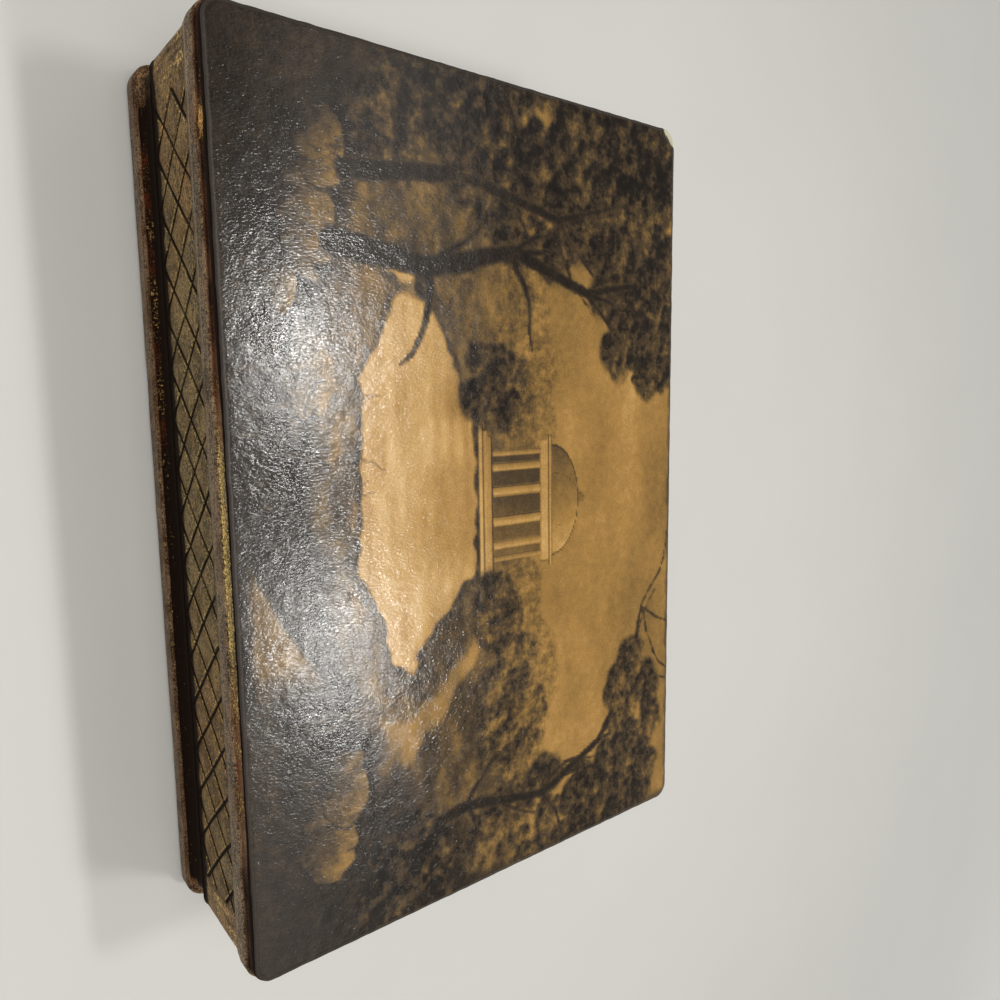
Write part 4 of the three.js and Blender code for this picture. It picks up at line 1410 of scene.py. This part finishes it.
def make_stage(stage):
    """Matte paper under soft window light, with a plain bright room round it."""
    material, add = start_material("matte_paper")
    place = add("TexCoord", out="Object")
    cloud = add("TexNoise", {"Vector": place, "Scale": 1 / (80 * MM), "Detail": 3})
    low, high = ((*(part * share for part in stage.floor), 1) for share in (0.97, 1.03))
    surface = add("Mix", {0: cloud, 6: low, 7: high}, 2, data_type="RGBA")
    paper = add("BsdfPrincipled", {"Base Color": surface, "Roughness": 0.8})

    # Far from the box the camera sees the paper pale into the room behind
    away = add("VectorMath", {0: place}, "Value", operation="LENGTH")
    away = add("MapRange", {0: away, 1: 0.35, 2: 1.3}, interpolation_type="SMOOTHSTEP")
    away = add("Math", {0: away, 1: add("LightPath", out="Is Camera Ray")}, operation="MULTIPLY")
    room = add("Emission", {"Color": (*linear("#eeede9"), 1)})
    add("OutputMaterial", {0: add("MixShader", {0: away, 1: paper, 2: room})})
    reach = 4
    corners = [(-reach, -reach, 0), (reach, -reach, 0), (reach, reach, 0), (-reach, reach, 0)]
    mesh = new_mesh("floor", corners, [(0, 1, 2, 3)])
    new_piece("floor", mesh, material)

    # The window lamps hang where the lid's front half mirrors them to the camera
    for name, spot, aim, size, power in (
        ("ceiling_lamp", (0, -0.3, 0.85), (0, -0.05, 0), (0.7, 0.7), stage.ceiling_power),
        ("skylight", (0.1, 0.38, 1.0), (0.01, -0.06, 0.059), (1.9, 0.32), stage.skylight_power),
        ("left_window", (-0.09, 0.36, 0.98), (-0.045, -0.057, 0.059), (0.15, 0.06), stage.lamp_power),
        ("right_window", (0.33, 0.365, 0.935), (0.035, -0.055, 0.059), (0.13, 0.07), stage.lamp_power),
        ("fill_lamp", (-0.5, -0.9, 0.5), (0, 0, 0.03), (0.9, 0.9), stage.fill_power),
    ):
        lamp = bpy.data.lights.new(name, "AREA")
        lamp.shape = "RECTANGLE"
        lamp.size, lamp.size_y = size
        lamp.energy = power
        lamp.color = linear("#fffdf9")
        holder = bpy.data.objects.new(name, lamp)
        holder.location = spot
        toward = Vector(aim) - Vector(spot)
        holder.rotation_euler = toward.to_track_quat("-Z", "Y").to_euler()
        bpy.context.scene.collection.objects.link(holder)

    # Even daylight; the camera and mirrors see a plain room, pale low down and dim above
    world = bpy.data.worlds.new("room")
    bpy.context.scene.world = world
    world.use_nodes = True
    world.node_tree.nodes.clear()
    add = partial(add_node, world.node_tree)
    seen = 0
    for ray in ("Is Camera Ray", "Is Glossy Ray", "Is Transmission Ray"):
        seen = add("Math", {0: seen, 1: add("LightPath", out=ray)}, operation="MAXIMUM")
    rise = add("SeparateXYZ", {0: add("TexCoord", out="Generated")}, "Z")
    heights = ((0, "#eeede9"), (0.34, "#e4e3df"), (0.5, "#7c7a76"), (0.8, "#6f6d69"), (0.95, "#918f8b"))
    walls = add("ValToRGB", {0: rise}, stops=heights)
    light = add("Background", {"Color": (*linear("#f3f4f6"), 1), "Strength": stage.daylight})
    room = add("Background", {"Color": walls, "Strength": 1})
    add("OutputWorld", {0: add("MixShader", {0: seen, 1: light, 2: room})})
    bpy.context.scene.view_settings.view_transform = "Standard"


def make_camera():
    """The phone's view: from above the front, held so that the box's length runs down the picture."""
    camera = bpy.data.cameras.new("camera")
    camera.sensor_width = 36
    camera.lens = camera.sensor_width * 0.79
    holder = bpy.data.objects.new("camera", camera)
    right = Vector((0.013, 0.7879, 0.6157)).normalized()
    backward = Vector((-0.1291, -0.6092, 0.7824)).normalized()
    up = backward.cross(right).normalized()
    right = up.cross(backward)
    turned = Matrix((right, up, backward)).transposed().to_4x4()
    holder.matrix_world = Matrix.Translation((-0.03059, -0.14304, 0.24516)) @ turned
    camera.clip_start = 0.01
    bpy.context.scene.collection.objects.link(holder)
    bpy.context.scene.camera = holder


class GiltBox(bpy.types.PropertyGroup):
    gilding: PointerProperty(type=GiltBoxGilding, name="Gilding", description="Leaf, bole, glaze and lattice")
    mouldings: PointerProperty(type=GiltBoxMouldings, name="Mouldings", description="Edges of lid and base")
    picture: PointerProperty(type=GiltBoxPicture, name="Print", description="The paper print")
    lining: PointerProperty(type=GiltBoxLining, name="Lining", description="Velvet, satin and felt")
    brass: PointerProperty(type=GiltBoxBrass, name="Brass", description="Hinges and screws")
    stage: PointerProperty(type=GiltBoxStage, name="Stage", description="Floor and lamps")


OPERATORS = (
    GILTBOX_OT_stage,
    GILTBOX_OT_base_board,
    GILTBOX_OT_walls,
    GILTBOX_OT_lid_board,
    GILTBOX_OT_print,
    GILTBOX_OT_lining,
    GILTBOX_OT_lid_pad,
    GILTBOX_OT_felt,
    GILTBOX_OT_hinges,
)


class GILTBOX_PT_parts(bpy.types.Panel):
    """Lists the pieces of the box and their sizes and colours"""

    bl_idname = "GILTBOX_PT_parts"
    bl_label = "Gilt Jewelry Box"
    bl_space_type = "VIEW_3D"
    bl_region_type = "UI"
    bl_category = "Gilt Box"

    def draw(self, context):
        boxes = context.scene.gilt_box
        for operator in OPERATORS:
            self.layout.operator(operator.bl_idname)
        for group in ("gilding", "mouldings", "picture", "lining", "brass", "stage"):
            column = self.layout.box().column()
            values = getattr(boxes, group)
            for name in values.__annotations__:
                column.prop(values, name)


CLASSES = (
    GiltBoxGilding,
    GiltBoxMouldings,
    GiltBoxPicture,
    GiltBoxLining,
    GiltBoxBrass,
    GiltBoxStage,
    GiltBox,
    *OPERATORS,
    GILTBOX_PT_parts,
)


def register():
    for item in CLASSES:
        bpy.utils.register_class(item)
    bpy.types.Scene.gilt_box = PointerProperty(type=GiltBox)


def unregister():
    del bpy.types.Scene.gilt_box
    for item in reversed(CLASSES):
        bpy.utils.unregister_class(item)


def main():
    register()
    for operator in OPERATORS:
        group, name = operator.bl_idname.split(".")
        getattr(getattr(bpy.ops, group), name)()


if __name__ == "__main__":
    main()
